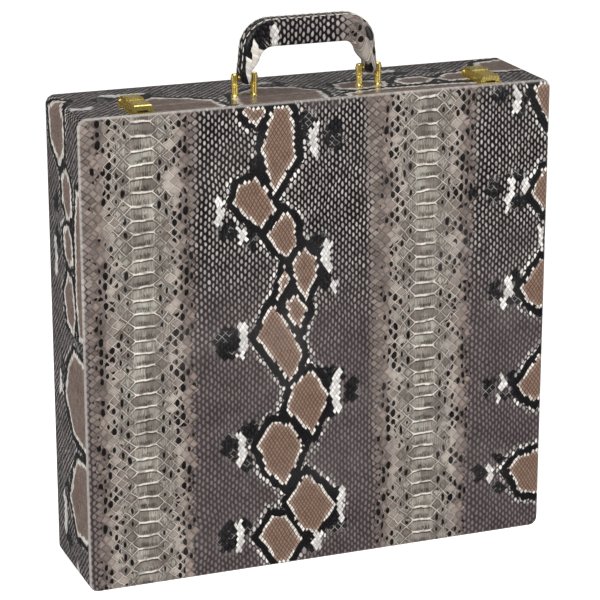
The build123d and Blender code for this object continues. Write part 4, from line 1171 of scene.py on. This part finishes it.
def stitches(seams):
    """Two rows of short stitches along the band's edges, one mesh."""
    path = [s for s in seams if s[5] > 7]
    pts = [Vector((s[0], 0.0, s[1])) for s in path]
    nrm = [Vector((s[2], 0.0, s[3])) for s in path]
    length = [0.0]
    for a, b in zip(pts, pts[1:]):
        length.append(length[-1] + (b - a).length)

    def at(t):
        for k in range(1, len(length)):
            if length[k] >= t:
                f = (t - length[k - 1]) / (length[k] - length[k - 1])
                return pts[k - 1].lerp(pts[k], f), nrm[k - 1].lerp(nrm[k], f).normalized()
        return pts[-1], nrm[-1]

    verts, faces = [], []
    pitch, long_, r = 8.1, 6.6, 0.62
    count = int((length[-1] - 2.0) / pitch)
    for row in (-1, 1):
        for k in range(count):
            s = 1.0 + pitch * (k + 0.5) + 0.12 * noise.noise(Vector((k * 1.7, row * 5.0, 0.5)))
            p, nn = at(s)
            p2, _ = at(s + 0.3)
            d = (p2 - p).normalized()
            side = Vector((0.0, 1.0, 0.0))
            c = p + Vector((0.0, HANDLE_Y + row * 6.55, 0.0)) + nn * 0.12
            base = len(verts)
            rings = 11
            for i in range(rings):
                a = math.pi * i / (rings - 1)
                along = -math.cos(a) * long_ / 2
                rad = max(r * math.sin(a) ** 0.6, 0.02)
                dip = -0.28 * abs(math.cos(a)) ** 3
                bow = row * (0.45 - 1.5 * math.cos(a) ** 2)
                for j in range(8):
                    b = 2 * math.pi * j / 8
                    v = c + d * along + side * (rad * math.cos(b) + bow) + nn * (rad * 0.8 * math.sin(b) + dip)
                    verts.append(tuple(v))
            for i in range(rings - 1):
                for j in range(8):
                    q, w = base + i * 8 + j, base + i * 8 + (j + 1) % 8
                    faces.append((q, w, w + 8, q + 8))
            faces.append(tuple(range(base, base + 8))[::-1])
            faces.append(tuple(range(base + (rings - 1) * 8, base + rings * 8)))
    make("handle_stitches", verts, faces, THREAD, "handle", closed=True)


stitches(handle_pad())


# ---------------------------------------------------------------------------
# Floor: one pale sheet, a step lower in front of the seam, as at a table's
# edge, so that the opened lid has somewhere to lie.
# ---------------------------------------------------------------------------
def floor():
    big = 9.0
    low, drop = -0.0285, -0.0272
    ys = [(-big, low), (-0.0345, low), (-0.0300, low), (-0.0286, low + 0.0012), (-0.0282, low + 0.003),
          (-0.0280, -0.003), (-0.0276, -0.0012), (-0.0262, 0.0), (-0.02, 0.0), (big, 0.0)]
    xs = [-big, -2.0, -0.5, 0.0, 0.5, 2.0, big]
    verts = [(x, y, z - 0.00002) for y, z in ys for x in xs]
    faces = []
    for j in range(len(ys) - 1):
        for i in range(len(xs) - 1):
            a = j * len(xs) + i
            faces.append((a, a + 1, a + 1 + len(xs), a + len(xs)))
    me = bpy.data.meshes.new("floor")
    me.from_pydata(verts, [], faces)
    me.update()
    ob = bpy.data.objects.new("floor", me)
    bpy.context.scene.collection.objects.link(ob)
    m, g, b = new_material("floor_looks")
    soft = g.noise(g.place(), 0.004, 2.0)
    g.put(b.inputs["Base Color"], g.mix(soft, (0.86, 0.86, 0.86), (0.84, 0.84, 0.845)))
    b.inputs["Roughness"].default_value = 0.9
    b.inputs["Specular IOR Level"].default_value = 0.1
    b.inputs["Emission Color"].default_value = (1.0, 1.0, 1.0, 1.0)
    b.inputs["Emission Strength"].default_value = 0.75
    me.materials.append(m)
    ob.visible_glossy = False
    return ob


FLOOR = floor()


# ---------------------------------------------------------------------------
# Light, world and camera
# ---------------------------------------------------------------------------
def softbox(name, place, target, size, watts, tint=(1.0, 1.0, 1.0), size_y=None):
    li = bpy.data.lights.new(name, "AREA")
    li.shape = "RECTANGLE"
    li.size, li.size_y = size, size_y or size
    li.energy = watts
    li.color = tint
    ob = bpy.data.objects.new(name, li)
    bpy.context.scene.collection.objects.link(ob)
    ob.location = place
    ob.rotation_mode = "QUATERNION"
    ob.rotation_quaternion = (Vector(target) - Vector(place)).to_track_quat("-Z", "Y")
    ob.visible_camera = False
    return ob


softbox("key", (-1.5, -2.3, 1.5), (0, 0, 0.25), 1.6, 41.5)
softbox("fill", (1.9, -1.9, 0.9), (0, 0, 0.25), 1.6, 24.0)
softbox("over", (-0.3, -0.4, 2.6), (0, 0, 0.3), 1.5, 30.0)
softbox("left", (-2.4, 0.3, 0.8), (0, 0, 0.25), 1.4, 16.0)
softbox("behind", (0.6, 1.7, 2.6), (0, 0, 0.25), 1.5, 16.0)

world = bpy.data.worlds.new("studio")
bpy.context.scene.world = world
world.use_nodes = True
wt = world.node_tree
wt.nodes.clear()
wg = Graph(wt)
w_out = wg.node("ShaderNodeOutputWorld")
seen = wg.node("ShaderNodeBackground")
seen.inputs["Color"].default_value = (1.0, 1.0, 1.0, 1.0)
seen.inputs["Strength"].default_value = 1.0
lit = wg.node("ShaderNodeBackground")
lit.inputs["Color"].default_value = (0.98, 0.99, 1.0, 1.0)
lit.inputs["Strength"].default_value = 0.11
ray = wg.node("ShaderNodeLightPath")
pick = wg.node("ShaderNodeMixShader")
wt.links.new(ray.outputs["Is Camera Ray"], pick.inputs[0])
wt.links.new(lit.outputs[0], pick.inputs[1])
wt.links.new(seen.outputs[0], pick.inputs[2])
wt.links.new(pick.outputs[0], w_out.inputs[0])

bpy.context.scene.view_settings.view_transform = "Standard"
bpy.context.scene.view_settings.look = "None"

AZ, EL, ROLL = math.radians(-21.028), math.radians(17.611), math.radians(0.013)
AIM = Vector((-0.02343, -0.058, 0.27946))
DIST = 2.4479
away = Vector((math.sin(AZ) * math.cos(EL), -math.cos(AZ) * math.cos(EL), math.sin(EL)))
cam_data = bpy.data.cameras.new("camera")
cam_data.sensor_width = 36.0
cam_data.lens = 149.18
cam_data.clip_start, cam_data.clip_end = 0.05, 60.0
cam = bpy.data.objects.new("camera", cam_data)
bpy.context.scene.collection.objects.link(cam)
cam.rotation_mode = "QUATERNION"
cam.location = AIM + away * DIST
cam.rotation_quaternion = (-away).to_track_quat("-Z", "Y")
bpy.context.scene.camera = cam
